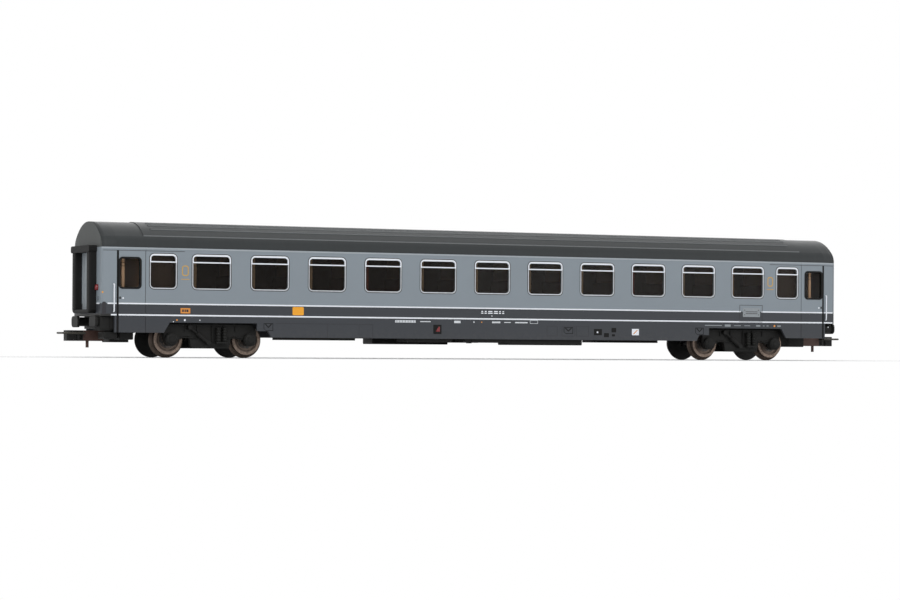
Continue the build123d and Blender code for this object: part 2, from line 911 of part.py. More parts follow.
def make_bogie_frame(x):
    arm_z = rail_z + frame_arm_height
    belly_z = rail_z + frame_belly_height
    shoulder_z = rail_z + frame_shoulder_height
    with BuildPart() as frame:
        with BuildSketch(Plane(origin=(x, -frame_inner_y, 0), x_dir=(1, 0, 0), z_dir=(0, -1, 0))):
            with BuildLine():
                Polyline(
                    (0, frame_top_z),
                    (frame_half_length - frame_shoulder, frame_top_z),
                    (frame_half_length, shoulder_z),
                    (frame_half_length, arm_z),
                    (arm_inner_x, arm_z),
                    (arm_inner_x - arm_haunch / 2, shoulder_z - arm_haunch),
                    (belly_half + belly_slant / 2, shoulder_z - arm_haunch),
                    (belly_half, belly_z),
                    (0, belly_z),
                    close=True,
                )
            make_face()
            mirror(about=Plane.YZ)
        extrude(amount=frame_thickness)
        with BuildSketch(Plane(origin=(x, -frame_inner_y, 0), x_dir=(1, 0, 0), z_dir=(0, -1, 0))):
            with Locations((-wheelbase / 2, axle_z), (wheelbase / 2, axle_z)):
                Circle(axle_box_radius)
        extrude(amount=frame_thickness + axle_box_reach)
        mirror(about=Plane.XZ)
        # Shelf under the springs of each side
        for side in (-1, 1):
            with Locations((
                x - side * spring_pair_x, side * (frame_outer_y + spring_radius),
                rail_z + spring_low_height - spring_shelf / 2,
            )):
                Box(spring_spacing + 2 * spring_radius, 2 * spring_radius, spring_shelf)
        # Bolster across the middle, with its pad and the hole of the pin
        depth = frame_top_z - bolster_low_z
        with Locations((x, 0, bolster_low_z + depth / 2)):
            Box(2 * bolster_half, 2 * frame_inner_y, depth)
        with BuildSketch(Plane.XY.offset(frame_top_z)):
            with Locations((x, 0)):
                Circle(pad_radius)
        extrude(amount=bolster_top_z - frame_top_z)
        with BuildSketch(Plane.XY.offset(bolster_top_z)):
            with Locations((x, 0)):
                Circle(pin_radius + pin_clearance)
        extrude(amount=-(bolster_top_z - bolster_low_z), mode=Mode.SUBTRACT)
        # Bearings of the axle ends
        with BuildSketch(Plane.XZ.offset(-(frame_inner_y + bearing_depth))):
            with Locations((x - wheelbase / 2, axle_z), (x + wheelbase / 2, axle_z)):
                Circle(axle_diameter / 2 + bearing_clearance)
        extrude(amount=2 * (frame_inner_y + bearing_depth), mode=Mode.SUBTRACT)
    return frame


def make_bogie_springs(x):
    # Coil springs on each side, as a moulding shows them: stacked turns.
    pitch = spring_length / spring_turns
    y = frame_outer_y + spring_radius
    low_z = rail_z + spring_low_height
    with BuildPart() as springs:
        for side in (-1, 1):
            for offset in (-spring_spacing / 2, spring_spacing / 2):
                centre = (x - side * spring_pair_x + offset, side * y, low_z)
                with BuildSketch(Plane(origin=centre, x_dir=(1, 0, 0), z_dir=(0, -1, 0))):
                    with BuildLine():
                        waist = spring_radius - spring_groove
                        outline = [(0, 0), (waist, 0)]
                        for i in range(spring_turns):
                            outline.append((spring_radius, (i + 1 / 2) * pitch))
                            outline.append((waist, (i + 1) * pitch))
                        Polyline(*outline, (0, spring_length), close=True)
                    make_face()
                revolve(axis=Axis(centre, (0, 0, 1)))
    return springs


def make_dampers(x):
    # A sloping damper on each side, between two eyes on the frame.
    y = frame_outer_y + damper_gap + damper_radius
    with BuildPart() as dampers:
        for side in (-1, 1):
            top = Vector(x + side * damper_top_x, side * y, rail_z + damper_top_height)
            foot = Vector(x + side * damper_foot_x, side * y, rail_z + damper_foot_height)
            run = foot - top
            with BuildSketch(Plane(origin=top, z_dir=run)):
                Circle(damper_rod_radius)
            extrude(amount=run.length)
            with BuildSketch(Plane(origin=top + run * damper_rod_share, z_dir=run)):
                Circle(damper_radius)
            extrude(amount=run.length * (1 - damper_rod_share))
            for eye in (top, foot):
                with BuildSketch(Plane(
                    origin=(eye.X, side * frame_outer_y, eye.Z), z_dir=(0, side, 0),
                )):
                    Circle(damper_eye_radius)
                extrude(amount=damper_gap + 2 * damper_radius)
    return dampers


def make_brakes(x):
    # A hanger inside each wheel, from the bolster's ends, with a shoe beside the tread.
    with BuildPart() as brakes:
        for side in (-1, 1):
            for end in (-1, 1):
                hanger_top_z = bolster_low_z
                low_z = axle_z - hanger_depth
                with Locations((
                    x + end * (bolster_half - hanger_width / 2), side * hanger_y,
                    (hanger_top_z + low_z) / 2,
                )):
                    Box(hanger_width, hanger_width, hanger_top_z - low_z)
                shoe_x = wheelbase / 2 - tread_diameter / 2 - flange_height - pin_gap
                length = shoe_x - bolster_half + hanger_width
                with Locations((
                    x + end * (bolster_half - hanger_width + length / 2), side * hanger_y,
                    axle_z,
                )):
                    Box(length, hanger_width, shoe_thickness)
    return brakes


def make_axle(x):
    half = frame_inner_y + bearing_depth - axle_end_gap
    radius = axle_diameter / 2
    with BuildPart() as axle:
        with BuildSketch(Plane(origin=(x, 0, axle_z), x_dir=(0, 1, 0), z_dir=(1, 0, 0))):
            with BuildLine():
                Polyline(
                    (-half, 0), (-half + axle_cone, radius), (half - axle_cone, radius), (half, 0),
                    close=True,
                )
            make_face()
        revolve(axis=Axis((x, 0, axle_z), (0, 1, 0)))
    return axle


def make_wheels(x):
    tread = tread_diameter / 2
    tip = tread + flange_height
    back = back_to_back / 2
    face = wheel_face_y
    rim = tread - tyre_depth
    hub = hub_diameter / 2
    bore = axle_diameter / 2
    with BuildPart() as wheels:
        with BuildSketch(Plane(origin=(x, 0, axle_z), x_dir=(0, 1, 0), z_dir=(1, 0, 0))):
            with BuildLine():
                Polyline(
                    (back, bore), (back, tip), (back + flange_tip, tip), (back + flange_root, tread),
                    (face, tread), (face, rim), (face - dish_depth, rim), (face - dish_depth, hub),
                    (face, hub), (face, bore), close=True,
                )
            make_face()
        revolve(axis=Axis((x, 0, axle_z), (0, 1, 0)))
        mirror(about=Plane.XZ)
    return wheels


shell = make_shell()
save(make_roof(), "roof")
save(make_door_seals(), "door_seals")
save(make_handrails(), "handrails")
save(make_end_doors(), "end_doors")
save(make_tail_lamps(), "tail_lamps")
save(make_underframe(), "underframe")
save(make_centre_sill(), "centre_sill")
save(make_buffer_beams(), "buffer_beams")
save(make_underfloor_boxes(), "underfloor_boxes")
save(make_weight(), "weight")
save(make_floor_tray(), "floor_tray")
save(make_corridor_wall(), "corridor_wall")
save(make_partitions(), "partitions")
save(make_seats(), "seats")

for side, side_name in ((-1, "near"), (1, "far")):
    save(make_side_wall(shell, side), f"side_wall_{side_name}")
    save(make_skirts(shell, side), f"skirts_{side_name}")
    save(make_glazing(side), f"glazing_{side_name}")
    save(make_window_frames(side), f"window_frames_{side_name}")

for end, end_name in ((-1, "front"), (1, "rear")):
    save(make_end_section(shell, end), f"end_section_{end_name}")
    save(make_gangway(end), f"gangway_{end_name}")
    save(make_buffers(end), f"buffers_{end_name}")
    save(make_coupler_mount(end), f"coupler_mount_{end_name}")
    save(make_coupler_hook(end), f"coupler_hook_{end_name}")
    save(make_coupler_head(end), f"coupler_head_{end_name}")
    save(make_coupler_bow(end), f"coupler_bow_{end_name}")
    bogie_x = end * pivot_x
    save(make_bogie_pin(bogie_x), f"bogie_pin_{end_name}")
    save(make_bogie_frame(bogie_x), f"bogie_frame_{end_name}")
    save(make_bogie_springs(bogie_x), f"bogie_springs_{end_name}")
    save(make_dampers(bogie_x), f"bogie_dampers_{end_name}")
    save(make_brakes(bogie_x), f"bogie_brakes_{end_name}")
    for place, place_name in ((-1, "a"), (1, "b")):
        axle_x = bogie_x + place * wheelbase / 2
        save(make_axle(axle_x), f"axle_{end_name}_{place_name}")
        save(make_wheels(axle_x), f"wheels_{end_name}_{place_name}")
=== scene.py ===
import math
from functools import partial

import bmesh
import bpy
from mathutils import Matrix, Vector


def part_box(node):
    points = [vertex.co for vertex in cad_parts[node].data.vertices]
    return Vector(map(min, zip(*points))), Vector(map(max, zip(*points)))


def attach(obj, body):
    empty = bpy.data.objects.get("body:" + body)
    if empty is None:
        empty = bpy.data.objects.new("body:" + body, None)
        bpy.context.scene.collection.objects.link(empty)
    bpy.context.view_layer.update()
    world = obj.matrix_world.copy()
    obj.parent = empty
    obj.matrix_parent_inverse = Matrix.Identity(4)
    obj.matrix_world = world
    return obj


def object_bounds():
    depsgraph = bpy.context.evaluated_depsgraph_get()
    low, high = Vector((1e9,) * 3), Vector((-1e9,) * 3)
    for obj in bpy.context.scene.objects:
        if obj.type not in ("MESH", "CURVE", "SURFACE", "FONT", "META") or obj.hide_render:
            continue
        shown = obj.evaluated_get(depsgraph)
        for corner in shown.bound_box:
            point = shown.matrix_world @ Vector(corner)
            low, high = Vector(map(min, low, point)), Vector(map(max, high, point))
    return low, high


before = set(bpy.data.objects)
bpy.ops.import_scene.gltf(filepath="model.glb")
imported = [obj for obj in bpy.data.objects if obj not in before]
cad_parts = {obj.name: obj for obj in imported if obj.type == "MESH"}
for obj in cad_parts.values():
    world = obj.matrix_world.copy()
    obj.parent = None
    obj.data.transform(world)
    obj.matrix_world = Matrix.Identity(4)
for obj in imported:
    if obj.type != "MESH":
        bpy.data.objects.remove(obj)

cadLow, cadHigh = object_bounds()
mm = 0.001
scene = bpy.context.scene
print("frame loaded:", len(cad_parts), "nodes")


# Shader maths

class Wire:  # one socket of a material, so that sums on values read as sums
    def __init__(self, tree, socket=None):
        self.tree, self.socket = tree, socket

    def node(self, kind, settings=None, inputs=None, out=0):  # any node that isn't a sum
        made = self.tree.nodes.new(kind)
        for name, value in (settings or {}).items():
            if name == "stops":
                ramp = made.color_ramp
                while len(ramp.elements) < len(value):
                    ramp.elements.new(0.5)
                for stop, (place, colour) in zip(ramp.elements, value):
                    stop.position, stop.color = place, colour
            else:
                setattr(made, name, value)
        for name, value in (inputs or {}).items():
            if isinstance(value, Wire):
                self.tree.links.new(value.socket, made.inputs[name])
            else:
                made.inputs[name].default_value = value
        if isinstance(out, tuple):
            return [Wire(self.tree, made.outputs[name]) for name in out]
        return Wire(self.tree, made.outputs[out])

    def sum(self, operation, first, second):
        return self.node("ShaderNodeMath", {"operation": operation}, {0: first, 1: second})

    def __add__(self, other):
        return self.sum("ADD", self, other)

    def __radd__(self, other):
        return self.sum("ADD", other, self)

    def __sub__(self, other):
        return self.sum("SUBTRACT", self, other)

    def __rsub__(self, other):
        return self.sum("SUBTRACT", other, self)

    def __mul__(self, other):
        return self.sum("MULTIPLY", self, other)

    def __rmul__(self, other):
        return self.sum("MULTIPLY", other, self)

    def __truediv__(self, other):
        return self.sum("DIVIDE", self, other)

    def __rtruediv__(self, other):
        return self.sum("DIVIDE", other, self)

    def __pow__(self, other):
        return self.sum("POWER", self, other)

    def __rpow__(self, other):
        return self.sum("POWER", other, self)

    def __gt__(self, other):
        return self.sum("GREATER_THAN", self, other)

    def __lt__(self, other):
        return self.sum("LESS_THAN", self, other)


def tint(red, green, blue):  # a screen colour, 0 to 255, as Blender keeps it
    return tuple(
        ((c / 255 + 0.055) / 1.055) ** 2.4 if c > 10 else c / 255 / 12.92 for c in (red, green, blue)
    ) + (1,)


def place(start):  # where the point is on the coach, in millimetres, so a pattern's size is a real one
    at = start.node("ShaderNodeTexCoord", out="Object")
    return at.node("ShaderNodeVectorMath", {"operation": "SCALE"}, {0: at, "Scale": 1000})


def parts(at):  # x, y and z of a vector
    return at.node("ShaderNodeSeparateXYZ", inputs={0: at}, out=(0, 1, 2))


def noise(at, size, detail):  # size in millimetres
    return at.node("ShaderNodeTexNoise", inputs={
        "Vector": at, "Scale": 1 / size, "Detail": detail, "Roughness": 0.55})


def between(value, low, high):  # 0 under low, 1 over high
    return value.node("ShaderNodeMapRange", inputs={
        "Value": value, "From Min": low, "From Max": high, "To Min": 0, "To Max": 1})


def past(square, low, high):  # the same for a squared place, so that both ends or both sides are alike
    return between(square, low ** 2, high ** 2)


def sign(value):
    return value.node("ShaderNodeMath", {"operation": "SIGN"}, {0: value})


def blend(factor, first, second):
    return factor.node(
        "ShaderNodeMix", {"data_type": "RGBA"}, {0: factor, 6: first, 7: second}, out=2)


def shade(colour, share):  # the same colour, lighter or darker
    return tuple(c * share for c in colour[:3]) + (1,)


def bump(height, depth, strength=0.6, normal=None):  # depth in millimetres
    inputs = {"Height": height, "Distance": depth * mm, "Strength": strength}
    if normal:
        inputs["Normal"] = normal
    return height.node("ShaderNodeBump", inputs=inputs)


def finish(name, shader, build):
    made = bpy.data.materials.new(name)
    made.use_nodes = True
    tree = made.node_tree
    principled = tree.nodes["Principled BSDF"]
    for socket, value in shader.items():
        principled.inputs[socket].default_value = value
    for socket, wire in build(Wire(tree)).items():
        tree.links.new(wire.socket, principled.inputs[socket])
    return made


def moulded(colour, spread, patch, grain, depth, rough, roughSpread):
    # Paint or bare moulded plastic, with slow patches and a fine grain, whose sizes are in millimetres
    def build(start):
        at = place(start)
        patches = noise(at, patch, 4)
        fine = noise(at, grain, 2)
        share = patches * 0.65 + fine * 0.35
        return {
            "Base Color": blend(
                between(share, 0.25, 0.75), shade(colour, 1 - spread), shade(colour, 1 + spread)),
            "Roughness": rough - roughSpread / 2 + roughSpread * fine,
            "Normal": bump(fine, depth),
        }
    return build


# Finishes of the coach

colours = {
    "side": tint(131, 140, 147),
    "band": tint(53, 56, 61),
    "roof": tint(48, 51, 52),
    # painted highlight: the light grey of the strips along the roof's step edges
    "roofEdgeHighlight": tint(102, 105, 106),
    # painted highlight: the roof's flat end, lighter than the roof grey for the light it catches
    "roofEndHighlight": tint(66, 69, 68),
    "black": tint(30, 30, 29),
    "rubber": tint(28, 28, 28),
    "seal": shade(tint(28, 28, 28), 0.6),
    # painted light: lighter than the body grey the end doors really share, to offset the gangway's shade
    "endDoorLightened": tint(152, 158, 162),
    "white": tint(232, 236, 242),
    "silver": tint(196, 200, 204),
    "outline": tint(42, 41, 45),
    "amber": tint(238, 164, 44),
    "orange": tint(214, 140, 62),
    "classMark": tint(196, 156, 76),
    "plate": tint(140, 146, 150),
    "lampRed": tint(120, 22, 28),
    "pane": tint(22, 19, 16),
    "ochre": tint(188, 146, 108),
    "brown": tint(84, 64, 50),
    "seat": tint(92, 52, 42),
    "coupler": tint(74, 54, 48),
    "wheel": tint(134, 118, 107),
    "steel": tint(150, 150, 150),
    "dust": tint(104, 100, 94),
    # painted highlight: the lit top of the gutter, lighter than the body grey it really has
    "eave": tint(158, 165, 171),
    "blind": tint(106, 86, 70),
    "curtain": tint(214, 178, 138),
    "redCurtain": tint(150, 78, 58),
    "post": tint(240, 196, 156),
    "bow": tint(62, 60, 54),
}
coach = {"sideY": 16.2, "endY": 15.2, "gapX": 144.9, "endX": 150.1}  # its skin, in millimetres
limits = {  # where one look ends and the next begins, in millimetres
    "band": (18.70, 18.80), "dust": (7.3, 12.0), "cornerTop": 15.15, "cornerFrom": 146.9,
    "endFace": (149.95, 150.05), "print": (33.1, 33.2), "doorPanes": 135.0,
    "wheelRim": 6.4, "wheelHub": 3.0, "wheelBack": 7.4, "hookMouth": 152.2,
}


def roundedCorner(at, reach):  # the surface's normal, turned over the last stretch before each corner
    x, y, z = parts(at)
    turnX = past(x * x, coach["endX"] - reach, coach["endX"]) * sign(x)
    turnY = past(y * y, coach["endY"] - reach, coach["endY"]) * past(x * x, *limits["endFace"]) * sign(y)
    turn = at.node("ShaderNodeCombineXYZ", inputs={0: turnX, 1: turnY})
    flat = at.node("ShaderNodeNewGeometry", out="Normal")
    both = at.node("ShaderNodeVectorMath", {"operation": "ADD"}, {0: flat, 1: turn})
    return at.node("ShaderNodeVectorMath", {"operation": "NORMALIZE"}, {0: both})


def sideBuild(start):
    at = place(start)
    x, y, z = parts(at)
    upper = between(z, *limits["band"])  # the dark band ends under the upper white line
    patches = noise(at, 9.0, 4)
    fine = noise(at, 0.14, 2)
    wear = between(noise(at, 1.1, 5), 0.30, 0.70)
    dust = (1 - between(z, *limits["dust"])) * wear * 0.10
    light = blend(patches, shade(colours["side"], 0.965), shade(colours["side"], 1.035))
    dark = blend(patches, shade(colours["band"], 0.93), shade(colours["band"], 1.07))
    painted = blend(upper, dark, light)
    # The corner over each buffer is black underneath
    corner = (z < limits["cornerTop"]) * (x * x > limits["cornerFrom"] ** 2)
    dusty = blend(dust, painted, colours["dust"])
    return {
        "Base Color": blend(corner, dusty, colours["black"]),
        "Roughness": 0.40 + 0.10 * fine + 0.06 * patches,
        "Normal": bump(fine, 0.006, 0.5, roundedCorner(at, 1.0)),
    }


def roofBuild(start):
    at = place(start)
    x, y, z = parts(at)
    endFace = past(x * x, *limits["endFace"])  # the flat end over the gangway is painted a lighter grey, a painted highlight for the light the end face catches
    patches = noise(at, 6.0, 4)
    fine = noise(at, 0.18, 2)
    drawn = at.node("ShaderNodeVectorMath", {"operation": "MULTIPLY"}, {0: at, 1: (1, 0.15, 0.15)})
    streaks = noise(drawn, 1.6, 4)
    share = patches * 0.5 + streaks * 0.5
    grey = blend(between(share, 0.3, 0.7), shade(colours["roof"], 0.93), shade(colours["roof"], 1.08))
    return {
        "Base Color": blend(endFace, grey, colours["roofEndHighlight"]),
        "Roughness": 0.40 + 0.12 * fine + 0.05 * patches,
        "Normal": bump(fine, 0.008, 0.5, roundedCorner(at, 1.8)),
    }


def frameBuild(start):  # silver below the transom, white print from the transom up
    at = place(start)
    x, y, z = parts(at)
    fine = noise(at, 0.10, 2)
    printed = between(z, *limits["print"])
    metal = blend(fine, shade(colours["silver"], 0.9), shade(colours["silver"], 1.08))
    return {
        "Base Color": blend(printed, metal, colours["white"]),
        "Metallic": (1 - printed) * 0.45,
        "Roughness": 0.30 + 0.12 * fine,
        "Normal": bump(fine, 0.004, 0.4),
    }


def paneBuild(start):
    at = place(start)
    x, y, z = parts(at)
    wave = noise(at, 5.0, 2)
    inDoor = x * x > limits["doorPanes"] ** 2
    return {
        "Base Color": blend(wave, shade(colours["pane"], 0.7), shade(colours["pane"], 1.5)),
        "Roughness": 0.07 + 0.05 * wave,
        "Normal": bump(wave, 0.02, 0.25),
        "Alpha": 0.40 + 0.06 * wave - 0.22 * inDoor,
    }


def wheelBuild(centreX, centreZ):
    def build(start):
        at = place(start)
        x, y, z = parts(at)
        dx, dz = x - centreX, z - centreZ
        radius = (dx * dx + dz * dz) ** 0.5
        turned = radius.node("ShaderNodeValToRGB", {"stops": [
            (0.00, colours["black"]), (0.46, shade(colours["black"], 1.3)),
            (0.49, shade(colours["wheel"], 0.30)), (0.53, shade(colours["wheel"], 0.62)),
            (0.56, shade(colours["wheel"], 0.20)), (0.64, shade(colours["wheel"], 0.28)),
            (0.67, shade(colours["wheel"], 0.85)), (0.80, shade(colours["wheel"], 1.10)),
            (0.83, shade(colours["wheel"], 0.42)), (0.87, shade(colours["wheel"], 0.24)),
            (1.00, shade(colours["wheel"], 0.34)),
        ]}, {0: radius / limits["wheelRim"]})
        cuts = radius.node(
            "ShaderNodeTexNoise", {"noise_dimensions": "1D"}, {"W": radius, "Scale": 14, "Detail": 2})
        stain = noise(at, 0.9, 4)
        back = y * y < limits["wheelBack"] ** 2
        worn = blend(between(stain, 0.42, 0.68), turned, shade(colours["wheel"], 0.45))
        return {
            "Base Color": blend(back, worn, shade(colours["black"], 1.2)),
            "Metallic": (1 - back) * (radius > limits["wheelHub"]) * (0.70 + 0.15 * cuts),
            "Roughness": 0.34 + 0.22 * cuts + 0.15 * back,
            "Normal": bump(cuts, 0.02, 0.5),
        }
    return build


def metalBuild(colour, grain, metallic, rough):
    def build(start):
        at = place(start)
        stain = noise(at, 0.8, 4)
        fine = noise(at, grain, 3)
        return {
            "Base Color": blend(stain, shade(colour, 0.72), shade(colour, 1.25)),
            "Metallic": metallic - 0.15 * stain,
            "Roughness": rough + 0.2 * fine,
            "Normal": bump(fine, 0.012, 0.6),
        }
    return build


def plastic(name, shader, colour, *looks):  # looks are the numbers of moulded, in its order
    return finish(name, shader, moulded(colours[colour], *looks))


satin = {"Specular IOR Level": 0.35}
dull = {"Specular IOR Level": 0.14}
sidePaint = finish("sidePaint", satin, sideBuild)
# Painted highlight for the roof's step edges
roofHighlightPaint = plastic(
    "roofHighlightPaint", {"Specular IOR Level": 0.3}, "roofEdgeHighlight", 0.08, 1.2, 0.12, 0.005, 0.4, 0.1)
roofPaint = finish("roofPaint", {"Specular IOR Level": 0.22}, roofBuild)
blackPlastic = plastic("blackPlastic", dull, "black", 0.22, 1.5, 0.13, 0.02, 0.52, 0.2)
gangwayRubber = plastic("gangwayRubber", dull, "rubber", 0.15, 1.2, 0.10, 0.015, 0.62, 0.15)
sealRubber = plastic("sealRubber", dull, "seal", 0.15, 1.0, 0.08, 0.01, 0.5, 0.1)
# Painted light: the end doors are painted lighter than the body grey to offset the gangway's shade
endDoorLightenedPaint = plastic("endDoorLightenedPaint", satin, "endDoorLightened", 0.05, 4.0, 0.14, 0.008, 0.44, 0.1)
clearPanes = finish("clearPanes", {"Specular IOR Level": 0.16}, paneBuild)
framePrint = finish("framePrint", satin, frameBuild)
lampRed = plastic("lampRed", {"Specular IOR Level": 0.5}, "lampRed", 0.2, 0.6, 0.08, 0.01, 0.22, 0.1)
whitePaint = plastic("whitePaint", satin, "white", 0.03, 3.0, 0.12, 0.004, 0.42, 0.1)
silverTrim = finish("silverTrim", satin, metalBuild(colours["silver"], 0.1, 0.5, 0.3))
linePrint = plastic("linePrint", satin, "outline", 0.08, 2.0, 0.12, 0.004, 0.45, 0.1)
# Painted highlight for the lit top of the gutter
eaveHighlightPaint = plastic("eaveHighlightPaint", satin, "eave", 0.03, 4.0, 0.12, 0.004, 0.40, 0.1)
amberPrint = plastic("amberPrint", satin, "amber", 0.06, 0.9, 0.10, 0.004, 0.42, 0.1)
orangePrint = plastic("orangePrint", satin, "orange", 0.08, 0.9, 0.10, 0.004, 0.42, 0.1)
classPrint = plastic("classPrint", satin, "classMark", 0.06, 0.9, 0.10, 0.004, 0.45, 0.1)
plateGrey = plastic("plateGrey", satin, "plate", 0.06, 1.2, 0.10, 0.006, 0.42, 0.1)
blindBrown = plastic("blindBrown", dull, "blind", 0.10, 2.4, 0.15, 0.01, 0.5, 0.1)
curtainOchre = plastic("curtainOchre", dull, "curtain", 0.10, 1.2, 0.15, 0.02, 0.55, 0.1)
curtainRed = plastic("curtainRed", dull, "redCurtain", 0.10, 1.4, 0.15, 0.01, 0.5, 0.1)
ochrePlastic = plastic("ochrePlastic", dull, "ochre", 0.08, 1.4, 0.15, 0.01, 0.5, 0.1)
postOchre = plastic("postOchre", dull, "post", 0.08, 1.4, 0.15, 0.01, 0.5, 0.1)
brownPlastic = plastic("brownPlastic", dull, "brown", 0.12, 2.0, 0.15, 0.01, 0.5, 0.1)
seatPlastic = plastic("seatPlastic", dull, "seat", 0.15, 1.2, 0.12, 0.02, 0.55, 0.1)
weightSteel = finish("weightSteel", {}, metalBuild(colours["steel"], 0.15, 0.9, 0.3))
axleSteel = finish("axleSteel", {}, metalBuild(shade(colours["steel"], 0.6), 0.12, 0.9, 0.3))
bowSteel = finish("bowSteel", satin, metalBuild(colours["bow"], 0.2, 0.5, 0.36))


def hookBuild(start):  # brown behind, black where it enters the head
    looks = metalBuild(colours["coupler"], 0.2, 0.35, 0.38)(start)
    x, y, z = parts(place(start))
    looks["Base Color"] = blend(x * x > limits["hookMouth"] ** 2, looks["Base Color"], colours["black"])
    return looks


couplerBrown = finish("couplerBrown", satin, hookBuild)
print("finishes made:", len(bpy.data.materials))

nodeFinish = {  # by the start of a node's name, and the longest start counts
    "roof": roofPaint, "door_seals": sealRubber, "handrails": whitePaint, "end_doors": endDoorLightenedPaint,
    "tail_lamps": lampRed, "underframe": blackPlastic, "centre_sill": blackPlastic,
    "underfloor_boxes": blackPlastic, "weight": weightSteel, "floor_tray": brownPlastic,
    "corridor_wall": brownPlastic, "partitions": ochrePlastic, "seats": seatPlastic,
    "side_wall": sidePaint, "skirts": sidePaint, "end_section": sidePaint, "glazing": clearPanes,
    "window_frames": framePrint, "gangway": gangwayRubber, "buffer": blackPlastic,
    "coupler": blackPlastic, "coupler_hook": couplerBrown, "coupler_bow": bowSteel,
    "bogie": blackPlastic, "axle": axleSteel,
}
for name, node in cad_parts.items():
    if name.startswith("wheels_"):
        which = name.removeprefix("wheels_")
        low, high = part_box("axle_" + which)
        middle = (low + high) / 2 / mm
        paint = finish("wheelMetal_" + which, {}, wheelBuild(middle.x, middle.z))
    else:
        paint = nodeFinish[max((key for key in nodeFinish if name.startswith(key)), key=len)]
    node.data.materials.clear()
    node.data.materials.append(paint)


# Mesh helpers. Places are in millimetres until a vertex is made.

def onSide(side, u, z, out):
    # A point on a side as seen from outside, u to the right. side is -1 for the near side, 1 for the far.
    drawnIn = max(0, abs(u) - coach["gapX"]) / (coach["endX"] - coach["gapX"])
    y = coach["sideY"] - drawnIn * (coach["sideY"] - coach["endY"]) + out
    return Vector((-side * u, side * y, z)) * mm


def onEnd(end, v, z, out, face=coach["endX"]):  # the same on an end, v across it
    return Vector((end * (face + out), end * v, z)) * mm


def mirrored(turn, span):  # a span, or the same on the other side where turn is -1
    return tuple(sorted((turn * span[0], turn * span[1])))


def about(middle, half):  # a span by its middle
    return middle - half, middle + half


def slab(bm, outline, low, high, at):  # a thin flat piece on the skin, from low to high outside it
    under = [bm.verts.new(at(u, z, low)) for u, z in outline]
    over = [bm.verts.new(at(u, z, high)) for u, z in outline]
    bm.faces.new(under[::-1])
    bm.faces.new(over)
    for i in range(len(outline)):
        j = (i + 1) % len(outline)
        bm.faces.new((under[i], under[j], over[j], over[i]))


def band(bm, outer, inner, low, high, at):  # the same with a hole, from two outlines of equal length
    rings = [[bm.verts.new(at(u, z, out)) for u, z in outline]
             for outline, out in ((outer, low), (outer, high), (inner, high), (inner, low))]
    for k in range(4):
        first, second = rings[k], rings[(k + 1) % 4]
        for i in range(len(outer)):
            j = (i + 1) % len(outer)
            bm.faces.new((first[i], first[j], second[j], second[i]))


def rectangle(u0, u1, z0, z1):
    return [(u0, z0), (u1, z0), (u1, z1), (u0, z1)]


def rimmed(bm, box, rim, low, high, at):  # a square frame with an even rim
    u0, u1, z0, z1 = box
    band(bm, rectangle(*box), rectangle(u0 + rim, u1 - rim, z0 + rim, z1 - rim), low, high, at)


def rounded(u, z, width, height, low, high=None, steps=6):
    # A rectangle about (u, z) with corner radii low at its bottom and high at its top
    high = low if high is None else high
    points = []
    for turn, cu, cz, radius in ((180, -1, -1, low), (270, 1, -1, low), (0, 1, 1, high), (90, -1, 1, high)):
        for i in range(steps + 1):
            a = math.radians(turn + 90 * i / steps)
            points.append((
                u + cu * (width / 2 - radius) + radius * math.cos(a),
                z + cz * (height / 2 - radius) + radius * math.sin(a)))
    return points


def roundedBox(u0, u1, z0, z1, corner):
    return rounded((u0 + u1) / 2, (z0 + z1) / 2, u1 - u0, z1 - z0, corner)


def circle(u, z, radius, steps=16):
    return [(u + radius * math.cos(2 * math.pi * i / steps), z + radius * math.sin(2 * math.pi * i / steps))
            for i in range(steps)]


def lathe(bm, centre, axis, profile, steps):  # profile is (along the axis, radius), in millimetres
    axis = Vector(axis).normalized()
    across = axis.orthogonal().normalized()
    other = axis.cross(across)
    rings = []
    for along, radius in profile:
        ring = []
        for i in range(steps):
            a = 2 * math.pi * i / steps
            spoke = across * math.cos(a) + other * math.sin(a)
            ring.append(bm.verts.new((Vector(centre) + axis * along + spoke * radius) * mm))
        rings.append(ring)
    for first, second in zip(rings, rings[1:]):
        for i in range(steps):
            j = (i + 1) % steps
            bm.faces.new((first[i], first[j], second[j], second[i]))
    bm.faces.new(rings[0][::-1])
    bm.faces.new(rings[-1])


def rod(bm, points, radius):  # a round bar through points, with joints where it bends
    for first, second in zip(points, points[1:]):
        run = Vector(second) - Vector(first)
        tip, taper = radius * 0.7, radius * 0.2
        lathe(bm, first, run, [
            (0, tip), (taper, radius), (run.length - taper, radius), (run.length, tip)], 8)


def block(bm, spans, cut):  # a block across three spans, with its edges broken
    shape = bmesh.ops.create_cube(bm, size=1)["verts"]
    low, high = (Vector([span[k] for span in spans]) for k in (0, 1))
    for vert in shape:
        vert.co = Vector([low[k] + (vert.co[k] + 0.5) * (high[k] - low[k]) for k in range(3)]) * mm
    edges = list(dict.fromkeys(edge for vert in shape for edge in vert.link_edges))
    bmesh.ops.bevel(bm, geom=edges, offset=cut * mm, segments=2, affect="EDGES", profile=0.6)


def piece(name, bm, paint, body, smooth=False):
    bmesh.ops.recalc_face_normals(bm, faces=bm.faces)
    if smooth:
        for face in bm.faces:
            face.smooth = True
    mesh = bpy.data.meshes.new(name)
    bm.to_mesh(mesh)
    bm.free()
    mesh.materials.append(paint)
    made = bpy.data.objects.new(name, mesh)
    scene.collection.objects.link(made)
    if smooth:
        mesh.set_sharp_from_angle(angle=math.radians(35))
    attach(made, body)


sides = {"near": -1, "far": 1}
ends = {"front": -1, "rear": 1}

# White lines, the corner posts and the painted highlight under the roof, a light grey strip for the lit top
# of the gutter. Each starts a little under the skin.

